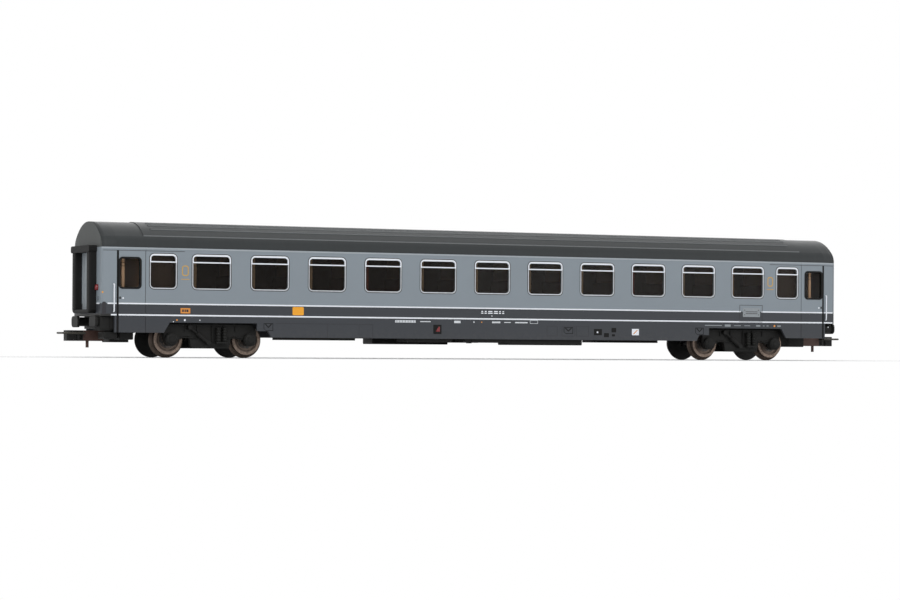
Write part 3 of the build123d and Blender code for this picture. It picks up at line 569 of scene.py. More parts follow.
buried = -0.1
lines = {
    "upper": (18.52, 19.00), "lower": (14.58, 15.08), "proud": 0.04, "doorGap": (144.1, 144.9),
    "cornerGap": 148.0, "lowerStart": 146.8, "reach": 149.5, "onEnd": (9.95, 13.2),
    "boardGap": (106.9, 116.3), "post": (148.5, 149.8), "postMiddle": 17.1, "postHeight": 4.4,
}


def lineRuns(gaps, side, gap):  # the stretches of a line that the gaps leave, and the one by the corner post
    points = [-gap if side < 0 else -lines["reach"]]
    for low, high in sorted(gaps):
        points += [low, high]
    points.append(lines["reach"] if side < 0 else gap)
    return list(zip(points[::2], points[1::2]))


for sideName, side in sides.items():
    at = partial(onSide, side)
    bm = bmesh.new()
    doorGaps = [mirrored(turn, lines["doorGap"]) for turn in (-1, 1)]
    for run in lineRuns(doorGaps + [lines["boardGap"]], side, lines["cornerGap"]):
        slab(bm, rectangle(*run, *lines["upper"]), buried, lines["proud"], at)
    for run in lineRuns(doorGaps, side, lines["lowerStart"]):
        slab(bm, rectangle(*run, *lines["lower"]), buried, lines["proud"], at)
    for end in ends.values():
        run = mirrored(end * side, lines["onEnd"])
        slab(bm, rectangle(*run, *lines["upper"]), buried, lines["proud"], partial(onEnd, end))
    piece("lines_" + sideName, bm, whitePaint, "coach")
    bm = bmesh.new()
    low, high = lines["post"]
    slab(bm, rounded(side * (low + high) / 2, lines["postMiddle"], high - low, lines["postHeight"], 0.1, 0.4),
         buried, 0.05, at)
    piece("corner_posts_" + sideName, bm, linePrint, "coach")

eave = {
    "height": (37.75, 38.28), "proud": 0.10, "end": 150.0,
    "doorLine": (37.05, 37.22), "doorFrom": 120.0, "doorTo": 149.6,
    "leafEdge": 134.4, "leafHalf": 0.06, "leafHeight": (8.8, 37.0),
    "joint": 144.5, "grooveShadeHalf": 0.38, "grooveShadeHeight": (8.75, 37.05),
}
for sideName, side in sides.items():
    at = partial(onSide, side)
    gap = coach["gapX"]
    # Painted highlight: a light grey strip along the top of each side for the lit top of the gutter
    bm = bmesh.new()
    for run in ((-eave["end"], -gap), (-gap, gap), (gap, eave["end"])):
        slab(bm, rectangle(*run, *eave["height"]), buried, eave["proud"], at)
    piece("eave_" + sideName, bm, eaveHighlightPaint, "coach")
    bm = bmesh.new()
    for turn in (-1, 1):
        for run in ((eave["doorFrom"], gap), (gap, eave["doorTo"])):
            slab(bm, rectangle(*mirrored(turn, run), *eave["doorLine"]), buried, 0.03, at)
        edge = about(turn * eave["leafEdge"], eave["leafHalf"])
        slab(bm, rectangle(*edge, *eave["leafHeight"]), -0.16, -0.10, at)
    piece("door_lines_" + sideName, bm, linePrint, "coach")
    # Painted shade: a near-black slab sunk in each door's groove, so the groove reads dark
    bm = bmesh.new()
    for turn in (-1, 1):
        joint = about(turn * eave["joint"], eave["grooveShadeHalf"])
        slab(bm, rectangle(*joint, *eave["grooveShadeHeight"]), -0.42, -0.12, at)
    piece("door_joints_" + sideName, bm, sealRubber, "coach")
print("lines made")

# Painted highlights: strips of light grey paint along the edges where the roof's lifted middle and its ribs
# step down to the skin beside them, standing for the light those edges catch

roofHighlightStrips = {
    "radius": 22.0061, "centreZ": 25.5939, "lean": 0.71355, "lift": 0.2, "liftShare": 0.98,
    "ribs": (0.355, 0.513, 0.709), "ribHalf": 0.25, "ribRise": 0.26, "ribEnd": 131.0, "liftEnd": 134.6,
    "width": 0.34, "lap": 0.05, "over": 0.02, "under": 0.1,
}


def alongRoof(bm, section, reach):
    rings = [[bm.verts.new(Vector((x, y, z)) * mm) for y, z in section] for x in (-reach, reach)]
    bm.faces.new(rings[0][::-1])
    bm.faces.new(rings[1])
    for i in range(len(section)):
        j = (i + 1) % len(section)
        bm.faces.new((rings[0][i], rings[0][j], rings[1][j], rings[1][i]))


def onRoof(side, angle, radius):  # angle from the crown
    return side * radius * math.sin(angle), roofHighlightStrips["centreZ"] + radius * math.cos(angle)


lifted = roofHighlightStrips["radius"] + roofHighlightStrips["lift"]
ribHalf = roofHighlightStrips["ribHalf"] / lifted
drops = [  # angle of the step, radius over it, radius under it, reach along the coach
    (roofHighlightStrips["lean"] * share + ribHalf, lifted + roofHighlightStrips["ribRise"], lifted, roofHighlightStrips["ribEnd"])
    for share in roofHighlightStrips["ribs"]]
drops.append((roofHighlightStrips["lean"] * roofHighlightStrips["liftShare"], lifted, roofHighlightStrips["radius"], roofHighlightStrips["liftEnd"]))
for sideName, side in sides.items():
    bm = bmesh.new()
    for angle, high, low, reach in drops:
        first, second = angle - roofHighlightStrips["lap"] / low, angle + roofHighlightStrips["width"] / low
        section = [(first, high + roofHighlightStrips["over"]), (second, low + roofHighlightStrips["over"]),
                   (second, low - roofHighlightStrips["under"]), (first, low - roofHighlightStrips["under"])]
        alongRoof(bm, [onRoof(side, *corner) for corner in section], reach)
    piece("roof_edges_" + sideName, bm, roofHighlightPaint, "coach")

# Window trim

windows = {
    "pitch": 22.0, "count": 11, "width": 14.4, "small": (127.9, 9.95),
    # outline is the width of the painted shade ring round each window
    "bottom": 24.0, "top": 36.2, "corner": 1.6, "outline": 0.27,
    "hopperLow": 33.2, "hopperSide": 0.46, "hopperTop": 0.56, "hopperBar": 0.38, "hopperCorner": 0.85,
    "lowerSide": 0.27, "lowerBottom": 0.30, "lowerCorner": 1.15, "square": 0.05, "play": 0.02,
    "shadowGapDepth": (-0.1, 0.03), "hopperDepth": (-0.2, 0.10), "sillDepth": (-0.25, 0.05),
}
windowPlaces = [((i - 5) * windows["pitch"], windows["width"]) for i in range(windows["count"])]
windowPlaces += [(-windows["small"][0], windows["small"][1]), windows["small"]]
windowMiddle = (windows["bottom"] + windows["top"]) / 2
windowHeight = windows["top"] - windows["bottom"]

for sideName, side in sides.items():
    at = partial(onSide, side)
    shadowGaps, hoppers, sills = bmesh.new(), bmesh.new(), bmesh.new()
    grow, corner, play, square = (windows[key] for key in ("outline", "corner", "play", "square"))
    bottom, low, high = windows["bottom"], windows["hopperLow"], windows["top"]
    paneLow, paneHigh = low + windows["hopperBar"], high - windows["hopperTop"]
    sill = bottom + windows["lowerBottom"]
    for u, width in windowPlaces:
        # Painted shade: a dark ring round each window for the shadow in the gap round its frame
        band(shadowGaps, rounded(u, windowMiddle, width + 2 * grow, windowHeight + 2 * grow, corner + grow),
             rounded(u, windowMiddle, width - 2 * play, windowHeight - 2 * play, corner),
             *windows["shadowGapDepth"], at)
        band(hoppers, rounded(u, (low + high) / 2, width - play, high - low, 0.12, corner),
             rounded(u, (paneLow + paneHigh) / 2, width - 2 * windows["hopperSide"], paneHigh - paneLow,
                     0.12, windows["hopperCorner"]), *windows["hopperDepth"], at)
        band(sills, rounded(u, (bottom + low) / 2, width - play, low - bottom, corner, square),
             rounded(u, (sill + low) / 2, width - 2 * windows["lowerSide"], low - sill - play,
                     windows["lowerCorner"], square), *windows["sillDepth"], at)
    piece("window_outlines_" + sideName, shadowGaps, linePrint, "coach")
    piece("hopper_frames_" + sideName, hoppers, whitePaint, "coach")
    piece("window_sills_" + sideName, sills, silverTrim, "coach")

doors = {
    "window": 140.05, "width": 8.1, "height": 10.85, "middle": 29.375, "corner": 1.3,
    "lap": 0.15, "lip": 0.48, "lock": (142.55, 20.6), "lockRadius": 0.32, "latch": 143.65,
}
for sideName, side in sides.items():
    at = partial(onSide, side)
    lips, locks, latches = bmesh.new(), bmesh.new(), bmesh.new()
    middle, width, height = doors["middle"], doors["width"], doors["height"]
    lap, lip = doors["lap"], doors["lip"]
    for turn in (-1, 1):
        u = turn * doors["window"]
        band(lips, rounded(u, middle, width + 2 * lap, height + 2 * lap, doors["corner"] + lap),
             rounded(u, middle, width - 2 * lip, height - 2 * lip, doors["corner"] - 0.3), -0.2, 0.10, at)
        u, z = turn * doors["lock"][0], doors["lock"][1]
        slab(locks, circle(u, z, doors["lockRadius"]), -0.1, 0.10, at)
        slab(locks, circle(u, z, doors["lockRadius"] * 0.45), 0.05, 0.16, at)
        slab(latches, rounded(turn * doors["latch"], z + 0.1, 0.62, 0.85, 0.1), -0.1, 0.04, at)
    piece("door_seal_lips_" + sideName, lips, sealRubber, "coach")
    piece("door_locks_" + sideName, locks, whitePaint, "coach")
    piece("door_latches_" + sideName, latches, linePrint, "coach")
print("windows and doors made")

# Marks, all of them blank or plain bars: no text

marks = {
    "class": (-119.8, 120.2), "classMiddle": 30.45, "classSize": (2.5, 3.7), "classCorner": 0.95,
    "classLine": 0.36, "classBarHalf": 1.5, "classBar": (27.35, 27.6),
    "plate": (-121.5, -117.9, 15.55, 17.40), "plateBars": ((-0.9, 0.62), (-0.1, 0.5), (0.72, 0.7)),
    "amber": (-79.3, -75.0, 15.35, 18.30), "box": (15.7, 19.0, 13.25, 14.5), "boxRim": 0.15,
    "numbers": (16.75, 17.75), "stroke": 0.36,
    "numberBars": [(-4.5, 0.9), (-3.1, 0.9), (-1.7, 1.9), (0.7, 1.7), (2.8, 0.9), (4.2, 0.8)],
    "ticks": 7, "firstTick": -38.6, "tickStep": 1.12, "tickWidth": 0.15, "tickHeight": (13.2, 14.0),
    "smallWhite": (-0.25, 0.1, 15.75, 16.1), "smallOrange": (-4.45, -4.05, 13.4, 13.8),
    "whiteDots": [(-119.9, 13.2, 0.36), (-114.3, 13.2, 0.2), (-124.1, 12.6, 0.16), (147.2, 13.1, 0.22)],
    "orangeDots": [(-122.8, 13.2, 0.3), (122.2, 13.35, 0.42)], "amberDot": (-149.7, 22.6, 0.3),
}
markRows = {  # the middle of each row, then the start, width and height of its bars
    "grey": (13.6, [(-39.2, 8.2, 0.9), (-29.2, 4.2, 0.35), (-15.5, 2.6, 0.9), (-7.7, 0.5, 0.5),
                    (0.0, 3.4, 0.6), (5.0, 2.7, 0.3), (9.5, 5.2, 0.45)]),
    "fine": (13.35, [(91.0, 7.5, 0.3), (99.8, 2.6, 0.8), (104.0, 3.0, 0.25), (108.6, 2.6, 0.25),
                     (113.9, 1.9, 0.55), (117.0, 0.7, 0.3), (118.6, 1.0, 0.35), (123.5, 1.6, 0.5)]),
}
markFinish = {
    "class": (classPrint, "body_paint"), "fine": (plateGrey, "frame_print"),
    "amber": (amberPrint, "body_paint"), "white": (whitePaint, "frame_print"),
    "orange": (orangePrint, "body_paint"), "dark": (linePrint, "body_paint"),
    "grey": (silverTrim, "frame_print"),
}
routeBoard = {  # over the lines near the rear end: a thin frame line and a blank grey plate
    "frame": (106.4, 116.7, 14.75, 21.35), "rim": 0.16, "plate": (107.9, 115.6, 16.75, 20.2),
    "pins": ((-3.1, 0.9), (3.1, 0.9), (-3.1, -0.9), (3.1, -0.9)), "pinRadius": 0.18,
    "lines": (-0.55, 0.15), "lineHeight": 0.22, "margin": 1.2,
}
printed = (-0.05, 0.03)  # from just under the skin to just proud of it
for sideName, side in sides.items():
    at = partial(onSide, side)
    on = {colour: bmesh.new() for colour in markFinish}
    width, height = marks["classSize"]
    rim, corner = marks["classLine"], marks["classCorner"]
    for u in marks["class"]:
        band(on["class"], rounded(u, marks["classMiddle"], width, height, corner),
             rounded(u, marks["classMiddle"], width - 2 * rim, height - 2 * rim, corner - rim), *printed, at)
        slab(on["class"], rectangle(*about(u, marks["classBarHalf"]), *marks["classBar"]), *printed, at)
    slab(on["orange"], roundedBox(*marks["plate"], 0.12), -0.05, 0.06, at)
    u0, u1, z0, z1 = marks["plate"]
    for across, width in marks["plateBars"]:
        bar = about((u0 + u1) / 2 + across, width / 2)
        slab(on["dark"], rectangle(*bar, z0 + 0.5, z1 - 0.5), 0.0, 0.09, at)
    slab(on["amber"], roundedBox(*marks["amber"], 0.5), -0.05, 0.06, at)
    z0, z1 = marks["numbers"]
    for u, width in marks["numberBars"]:
        slab(on["white"], rectangle(u, u + width, z0, z0 + marks["stroke"]), *printed, at)
        slab(on["white"], rectangle(u + 0.1, u + width - 0.1, z1 - marks["stroke"], z1), *printed, at)
    slab(on["white"], rectangle(*marks["smallWhite"]), *printed, at)
    for colour, (z, bars) in markRows.items():
        for u, width, height in bars:
            slab(on[colour], rectangle(u, u + width, *about(z, height / 2)), *printed, at)
    for k in range(marks["ticks"]):
        u = marks["firstTick"] + marks["tickStep"] * k
        slab(on["dark"], rectangle(u, u + marks["tickWidth"], *marks["tickHeight"]), 0.0, 0.05, at)
    rimmed(on["grey"], marks["box"], marks["boxRim"], *printed, at)
    for dot in marks["whiteDots"]:
        slab(on["white"], circle(*dot), -0.05, 0.04, at)
    for dot in marks["orangeDots"]:
        slab(on["orange"], circle(*dot), -0.05, 0.04, at)
    slab(on["orange"], rectangle(*marks["smallOrange"]), *printed, at)
    slab(on["amber"], circle(*marks["amberDot"]), -0.05, 0.05, at)
    for colour, (paint, slot) in markFinish.items():
        piece("marks_" + colour + "_" + sideName, on[colour], paint, "coach")
    board, plate = bmesh.new(), bmesh.new()
    rimmed(board, routeBoard["frame"], routeBoard["rim"], -0.05, 0.05, at)
    slab(plate, roundedBox(*routeBoard["plate"], 0.25), -0.05, 0.10, at)
    u0, u1, z0, z1 = routeBoard["plate"]
    middle, margin = (z0 + z1) / 2, routeBoard["margin"]
    for u, z in routeBoard["pins"]:
        slab(board, circle((u0 + u1) / 2 + u, middle + z, routeBoard["pinRadius"]), 0.05, 0.16, at)
    for z in routeBoard["lines"]:
        low, high = middle + z, middle + z + routeBoard["lineHeight"]
        slab(board, rectangle(u0 + margin, u1 - margin, low, high), 0.08, 0.13, at)
    piece("board_frame_" + sideName, board, linePrint, "coach")
    piece("board_plate_" + sideName, plate, plateGrey, "coach")
print("marks made")

# Hatches of the skirt with painted shade in its sunk parts, and the low box under its middle

skirt = {
    "line": 0.13, "proud": 0.025, "long": (-86.0, -53.9, 12.35), "upright": (-65.7, 7.4, 12.3),
    "hatches": [(-53.5, -48.0, 7.5, 12.35), (22.8, 27.2, 8.7, 12.5), (29.1, 34.6, 8.7, 12.5),
                (35.2, 40.5, 8.7, 12.5)],
    "vees": [(-90.3, -86.7, 9.7, 12.4), (86.7, 90.4, 9.7, 12.4), (29.9, 33.8, 9.6, 12.1)],
    "veeCut": 0.8, "veeRim": 0.2,
    "recesses": [(42.7, 46.1, 9.2, 11.5), (47.0, 49.1, 8.5, 10.0), (50.2, 52.2, 10.3, 12.0),
                 (50.4, 51.7, 8.8, 9.6), (-23.9, -20.6, 9.1, 12.5)],
    "square": (59.0, 62.0, 9.3, 11.7), "dot": (44.2, 10.3, 0.34),
    "flag": [(-22.9, 10.0), (-21.3, 10.0), (-21.3, 11.8), (-21.8, 11.8)],
    "lowBox": ((-7.7, 8.4), (12.2, 14.9), (6.05, 8.6)), "lowTab": ((4.4, 5.6), (12.2, 14.9), (5.85, 6.5)),
}
for sideName, side in sides.items():
    at = partial(onSide, side)
    drawn, recessShade, white, orange, red, lowBox = (bmesh.new() for _ in range(6))
    line, proud = skirt["line"], skirt["proud"]
    u0, u1, z = skirt["long"]
    slab(drawn, rectangle(u0, u1, *about(z, line / 2)), -0.05, proud, at)
    u, z0, z1 = skirt["upright"]
    slab(drawn, rectangle(*about(u, line / 2), z0, z1), -0.05, proud, at)
    for hatch in skirt["hatches"]:
        rimmed(drawn, hatch, line, -0.05, proud, at)
    # Painted shade: near-black rims, marks and patches where the skirt is sunk in
    cut, rim = skirt["veeCut"], skirt["veeRim"]
    for u0, u1, z0, z1 in skirt["vees"]:
        middle, tip = (u0 + u1) / 2, z1 - 0.3
        outer = [(u0 + cut, z0), (u1, z0), (u1, z1), (u0, z1), (u0, z0 + cut)]
        inner = [(u0 + cut, z0 + rim), (u1 - rim, z0 + rim), (u1 - rim, z1 - rim), (u0 + rim, z1 - rim),
                 (u0 + rim, z0 + cut)]
        band(recessShade, outer, inner, -0.05, proud, at)
        slab(recessShade, [(u0 + 0.4, tip), (middle, z1 - 1.7), (u1 - 0.4, tip), (u1 - 0.95, tip),
                    (middle, z1 - 1.25), (u0 + 0.95, tip)], -0.05, 0.03, at)
    for recess in skirt["recesses"]:
        slab(recessShade, roundedBox(*recess, 0.2), -0.05, 0.02, at)
    slab(red, skirt["flag"], 0.0, 0.12, at)
    slab(white, circle(*skirt["dot"]), 0.0, 0.10, at)
    slab(white, roundedBox(*skirt["square"], 0.12), -0.05, 0.05, at)
    u0, u1, z0, z1 = skirt["square"]
    low, high = z0 + 0.45, z1 - 0.45
    slab(orange, [(u0 + 0.45, low), (u0 + 0.95, low), (u1 - 0.45, high), (u1 - 0.95, high)], 0.0, 0.08, at)
    piece("skirt_hatches_" + sideName, drawn, linePrint, "coach")
    piece("skirt_recesses_" + sideName, recessShade, sealRubber, "coach")
    piece("skirt_white_" + sideName, white, whitePaint, "coach")
    piece("skirt_orange_" + sideName, orange, orangePrint, "coach")
    piece("skirt_red_" + sideName, red, lampRed, "coach")
    for along, across, height in (skirt["lowBox"], skirt["lowTab"]):
        block(lowBox, (along, mirrored(side, across), height), 0.15)
    piece("low_box_" + sideName, lowBox, blackPlastic, "coach")
print("skirt made")

# Inside, behind the panes: posts by the doors, curtains and the blinds of the small windows

inside = {
    "floor": 17.3, "top": 37.4, "posts": ((-141.9, 1.0), (139.7, 0.9)), "postGrip": (31.95, 32.85),
    "postLow": 31.7, "postHigh": 33.0, "postDepth": (-2.7, -2.1), "depth": (-2.5, -2.1),
    "curtain": 1.3, "curtainIn": 1.0, "redWindows": (3, 8), "blind": 9.6, "blindTop": 37.7,
}
for sideName, side in sides.items():
    at = partial(onSide, side)
    posts, curtains, reds, blinds = (bmesh.new() for _ in range(4))
    floorZ, top, depth = inside["floor"], inside["top"], inside["depth"]
    for u, width in inside["posts"]:
        across = about(u, width / 2)
        slab(posts, roundedBox(*across, *inside["postGrip"], 0.3), *inside["postDepth"], at)
        slab(posts, roundedBox(*across, floorZ, inside["postLow"], 0.25), *inside["postDepth"], at)
        slab(posts, roundedBox(*across, inside["postHigh"], top, 0.25), *inside["postDepth"], at)
    for i, (u, width) in enumerate(windowPlaces[:-2]):
        left = u - width / 2 + inside["curtainIn"]
        cloth = reds if i in inside["redWindows"] else curtains
        slab(cloth, roundedBox(left, left + inside["curtain"], floorZ, top, 0.2), *depth, at)
    for u, width in windowPlaces[-2:]:
        across = about(u, inside["blind"] / 2)
        slab(blinds, roundedBox(*across, floorZ, inside["blindTop"], 0.3), *depth, at)
    piece("posts_" + sideName, posts, postOchre, "coach")
    piece("curtains_" + sideName, curtains, curtainOchre, "coach")
    piece("red_curtains_" + sideName, reds, curtainRed, "coach")
    piece("blinds_" + sideName, blinds, blindBrown, "coach")
print("inside made")

# Bogie sides: axle box covers with their bolts, rods, ribs and stiffeners

bogie = {
    "pivot": 109.2, "half": 14.7, "axleZ": 6.4, "sideY": 12.9, "boxY": 14.2, "boxRadius": 1.85,
    "boltCircle": 1.35, "bolt": [(0, 0.2), (0.3, 0.2), (0.36, 0.1)],
    "rodRadius": 0.22, "rodShift": 0.4, "hanger": (0.2, 11.4, 5.6), "pull": ((4.2, 6.9), (11.4, 7.2)),
    "rib": ((-12.6, 12.6), (10.35, 11.1), (10.4, 13.35)), "pad": (4.3, (4.4, 10.0), (11.5, 13.2)),
    "stiffeners": (-9.5, -4.9, 4.9, 9.5), "stiffenerHalf": 0.22, "stiffenerHeight": (9.2, 11.6),
    "edges": ((15.6, (11.25, 11.75)), (6.6, (3.5, 4.0))),
}
for endName, end in ends.items():
    covers, rods, ribs = bmesh.new(), bmesh.new(), bmesh.new()
    middle = end * bogie["pivot"]
    base = bogie["boxRadius"]
    cover = [(0, base + 0.15), (0.5, base + 0.15), (0.75, base - 0.2), (0.8, 1.2), (0.95, 1.1), (1.0, 0.4)]
    for side in sides.values():
        for turn in (-1, 1):
            x, axleZ = middle + turn * bogie["half"], bogie["axleZ"]
            lathe(covers, (x, side * (bogie["boxY"] - 0.3), axleZ), (0, side, 0), cover, 24)
            for k in range(4):
                a = math.radians(45 + 90 * k)
                boltX = x + bogie["boltCircle"] * math.cos(a)
                boltZ = axleZ + bogie["boltCircle"] * math.sin(a)
                lathe(covers, (boltX, side * (bogie["boxY"] + 0.3), boltZ), (0, side, 0), bogie["bolt"], 6)
        x, y = middle - side * bogie["rodShift"], side * (bogie["sideY"] + 0.35)
        hangerIn, hangerTop, hangerFoot = bogie["hanger"]
        (near, nearZ), (far, farZ) = bogie["pull"]
        for points in (
            [(-side * hangerIn, hangerTop), (-side * hangerIn, hangerFoot)],
            [(near, nearZ), (far, farZ)], [(-far, farZ), (-near, nearZ)],
        ):
            rod(rods, [(x + along, y, z) for along, z in points], bogie["rodRadius"])
    for side in sides.values():
        along, across, height = bogie["rib"]
        block(ribs, ((middle + along[0], middle + along[1]), mirrored(side, across), height), 0.2)
        half, across, height = bogie["pad"]
        block(ribs, (about(middle, half), mirrored(side, across), height), 0.25)
        y, half = side * (bogie["sideY"] + 0.16), bogie["stiffenerHalf"]
        for x in bogie["stiffeners"]:  # on the frame's face, under its top edge
            block(ribs, (about(middle + x, half), about(y, half), bogie["stiffenerHeight"]), 0.08)
        across = mirrored(side, (bogie["sideY"] - 0.1, bogie["sideY"] + 0.22))
        for half, height in bogie["edges"]:
            block(ribs, (about(middle, half), across, height), 0.08)
    piece("bogie_ribs_" + endName, ribs, blackPlastic, "bogie_" + endName)
    piece("axle_covers_" + endName, covers, blackPlastic, "bogie_" + endName, smooth=True)
    piece("bogie_rods_" + endName, rods, blackPlastic, "bogie_" + endName, smooth=True)
print("bogies made")

# Ends: the housings behind the buffers, the cheeks of the coupler's mount, its jaw and the lamps' lenses

lampLow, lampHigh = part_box("tail_lamps")
fronts = {
    "housing": ((145.3, 150.3), (7.6, 14.1), (9.2, 14.9)), "foot": ((143.6, 148.6), (6.6, 13.6), (6.4, 9.0)),
    "cheek": ((136.5, 143.5), (3.55, 4.05), (6.4, 9.4)), "strut": ((143.3, 146.0), (4.6, 5.8), (9.3, 10.4)),
    "jaw": ((152.0, 154.0), (-1.7, 1.7), (5.7, 9.3)), "step": ((137.2, 142.4), (5.2, 11.8), (6.2, 8.9)),
    "cuts": {"housing": 0.9, "foot": 0.6, "step": 0.4, "cheek": 0.15, "strut": 0.2},
    "onOneSide": ("housing", "foot", "step"),
    "lens": (lampHigh.y / mm - 0.8, (lampLow.z + lampHigh.z) / 2 / mm), "lensRadius": 1.1,
    "ring": (11.6, 20.5), "ringRadii": (0.75, 0.6),
}
for endName, end in ends.items():
    housings = bmesh.new()
    for side in sides.values():
        for name, cut in fronts["cuts"].items():
            if name in fronts["onOneSide"] and side != end:
                continue
            along, across, height = fronts[name]
            block(housings, (mirrored(end, along), mirrored(side, across), height), cut)
    piece("buffer_housings_" + endName, housings, blackPlastic, "coach")
    jaw = bmesh.new()
    along, across, height = fronts["jaw"]
    block(jaw, (mirrored(end, along), across, height), 0.5)
    piece("coupler_jaw_" + endName, jaw, blackPlastic, "coupler_" + endName)
    lenses, ring = bmesh.new(), bmesh.new()
    v, z = fronts["lens"]
    radius = fronts["lensRadius"]
    lens = [(0, radius), (0.35, radius), (0.75, radius * 0.8), (0.95, radius * 0.3)]
    for side in (-1, 1):
        lathe(lenses, (end * (coach["endX"] + 0.05), side * v, z), (end, 0, 0), lens, 16)
    piece("lamp_lenses_" + endName, lenses, lampRed, "coach", smooth=True)
    v, z = fronts["ring"]
    outer, inner = fronts["ringRadii"]
    for side in (-1, 1):
        band(ring, circle(side * v, z, outer), circle(side * v, z, inner), -0.05, 0.05, partial(onEnd, end))
    piece("end_rings_" + endName, ring, linePrint, "coach")

# Folding end doors: two leaves with an upright joint, pressed panels and a pull

doorLow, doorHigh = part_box("end_doors")
leaf = {
    "edge": 0.5, "joint": 0.09, "jointEnds": 0.2, "panelEnds": 0.9, "panelGap": 0.7, "panelShare": 0.72,
    "rim": 0.22, "split": 0.46, "splitHalf": 0.4, "pull": (0.55, 0.14, 1.6),
}
half, bottom, top = doorHigh.y / mm, doorLow.z / mm, doorHigh.z / mm
middle = bottom + (top - bottom) * leaf["split"]
width = (half - leaf["edge"] - leaf["panelGap"]) * leaf["panelShare"]
rim = leaf["rim"]
for endName, end in ends.items():
    at = partial(onEnd, end, face=doorHigh.x / mm)
    joint, panels, pull = bmesh.new(), bmesh.new(), bmesh.new()
    low, high = bottom + leaf["jointEnds"], top - leaf["jointEnds"]
    slab(joint, rectangle(*about(0, leaf["joint"]), low, high), -0.05, 0.02, at)
    for turn in (-1, 1):
        v = turn * (leaf["panelGap"] + width / 2)
        for z0, z1 in ((bottom + leaf["panelEnds"], middle - leaf["splitHalf"]),
                       (middle + leaf["splitHalf"], top - leaf["panelEnds"])):
            z, height = (z0 + z1) / 2, z1 - z0
            band(panels, rounded(v, z, width, height, 0.4),
                 rounded(v, z, width - 2 * rim, height - 2 * rim, 0.25), -0.05, 0.16, at)
    v, halfPull, reach = leaf["pull"]
    slab(pull, rounded(v, middle, 2 * halfPull, reach, 0.1), -0.05, 0.3, at)
    piece("end_door_joint_" + endName, joint, linePrint, "coach")
    # the panels carry the same painted light as the doors
    piece("end_door_panels_" + endName, panels, endDoorLightenedPaint, "coach")
    piece("end_door_pull_" + endName, pull, linePrint, "coach")
print("end doors made")

# Studio

studio = {  # in metres
    "floor": 100.0, "paper": 0.98, "reach": (0.17, 0.05), "fade": (0.95, 1.7), "world": 0.42,
    "aim": (0, 0, 0.02),
}
bm = bmesh.new()
bmesh.ops.create_grid(bm, x_segments=4, y_segments=4, size=studio["floor"] / 2)
mesh = bpy.data.meshes.new("floor")
bm.to_mesh(mesh)
bm.free()
floor = bpy.data.objects.new("floor", mesh)
floor.location = (0, 0, cadLow.z)
scene.collection.objects.link(floor)
paper = bpy.data.materials.new("paper")
paper.use_nodes = True
tree = paper.node_tree
start = Wire(tree)
at = start.node("ShaderNodeTexCoord", out="Object")
x, y, z = parts(at)
acrossX, acrossY = x / studio["reach"][0], y / studio["reach"][1]
away = between((acrossX * acrossX + acrossY * acrossY) ** 0.5, *studio["fade"])
matt = tree.nodes["Principled BSDF"]
matt.inputs["Base Color"].default_value = (studio["paper"],) * 3 + (1,)
matt.inputs["Roughness"].default_value = 0.9
matt.inputs["Specular IOR Level"].default_value = 0.1
glow = start.node("ShaderNodeEmission", inputs={"Color": (1, 1, 1, 1), "Strength": 1.0})
seen = start.node("ShaderNodeLightPath", out="Is Camera Ray")
mixed = start.node("ShaderNodeMixShader", inputs={
    0: away * seen, 1: Wire(tree, matt.outputs[0]), 2: glow})
tree.links.new(mixed.socket, tree.nodes["Material Output"].inputs["Surface"])
floor.data.materials.append(paper)

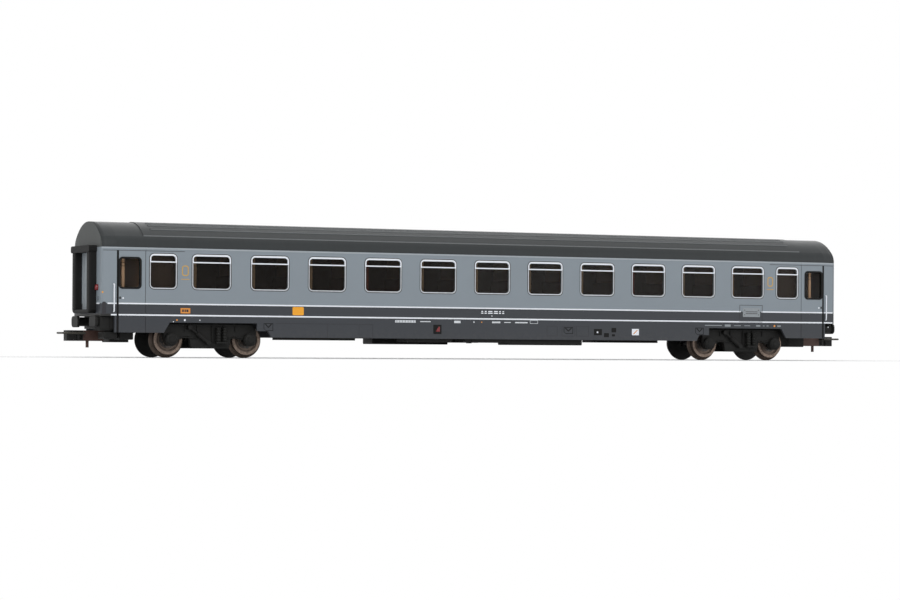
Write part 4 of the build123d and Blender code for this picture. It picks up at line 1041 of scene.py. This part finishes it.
world = bpy.data.worlds.new("studio")
scene.world = world
world.use_nodes = True
tree = world.node_tree
start = Wire(tree)
direct, glossy, through = start.node(
    "ShaderNodeLightPath", out=("Is Camera Ray", "Is Glossy Ray", "Is Transmission Ray"))
seenBy = direct + glossy + through
soft = start.node("ShaderNodeBackground", inputs={"Color": (0.97, 0.98, 1.0, 1), "Strength": studio["world"]})
white = start.node("ShaderNodeBackground", inputs={"Color": (1, 1, 1, 1), "Strength": 1.0})
mixed = start.node("ShaderNodeMixShader", inputs={0: seenBy > 0.5, 1: soft, 2: white})
tree.links.new(mixed.socket, tree.nodes["World Output"].inputs["Surface"])

lamps = {  # place, size and power
    "key": ((-0.85, -1.35, 1.15), 1.1, 12.9),
    "fill": ((1.15, -1.25, 0.55), 1.2, 5.5),
    "top": ((0.05, 0.35, 1.55), 1.4, 3.4),
    "end": ((-1.5, -0.35, 0.45), 0.8, 2.6),
    "back": ((0.7, 1.4, 0.75), 1.3, 7.5),
}
for name, (spot, size, power) in lamps.items():
    data = bpy.data.lights.new(name, "AREA")
    data.shape, data.size, data.energy = "SQUARE", size, power
    lamp = bpy.data.objects.new(name, data)
    lamp.location = spot
    lamp.rotation_mode = "QUATERNION"
    lamp.rotation_quaternion = (Vector(studio["aim"]) - Vector(spot)).to_track_quat("-Z", "Y")
    scene.collection.objects.link(lamp)
print("studio made")

# Camera

shot = {  # place in millimetres, turns in radians, focal length and drop in pixels of the picture
    "spot": (-445.9, -916.72, 4.1), "yaw": 0.4444, "pitch": -0.0002, "roll": 0.0064,
    "focal": 2725.57, "drop": 48.37, "width": 900, "sensor": 36,
}
yaw, pitch, roll = shot["yaw"], shot["pitch"], shot["roll"]
ahead = Vector((math.sin(yaw) * math.cos(pitch), math.cos(yaw) * math.cos(pitch), math.sin(pitch)))
right = Vector((math.cos(yaw), -math.sin(yaw), 0))
up = right.cross(ahead)
rightRolled = right * math.cos(roll) + up * math.sin(roll)
upRolled = up * math.cos(roll) - right * math.sin(roll)
data = bpy.data.cameras.new("camera")
data.sensor_width = shot["sensor"]
data.lens = shot["focal"] * shot["sensor"] / shot["width"]
data.shift_y = shot["drop"] / shot["width"]
data.clip_start, data.clip_end = 0.01, 200
camera = bpy.data.objects.new("camera", data)
camera.matrix_world = Matrix.Translation(Vector(shot["spot"]) * mm) @ Matrix(
    (rightRolled, upRolled, -ahead)).transposed().to_4x4()
scene.collection.objects.link(camera)
bpy.context.scene.camera = camera
bpy.context.scene.view_settings.view_transform = "Standard"
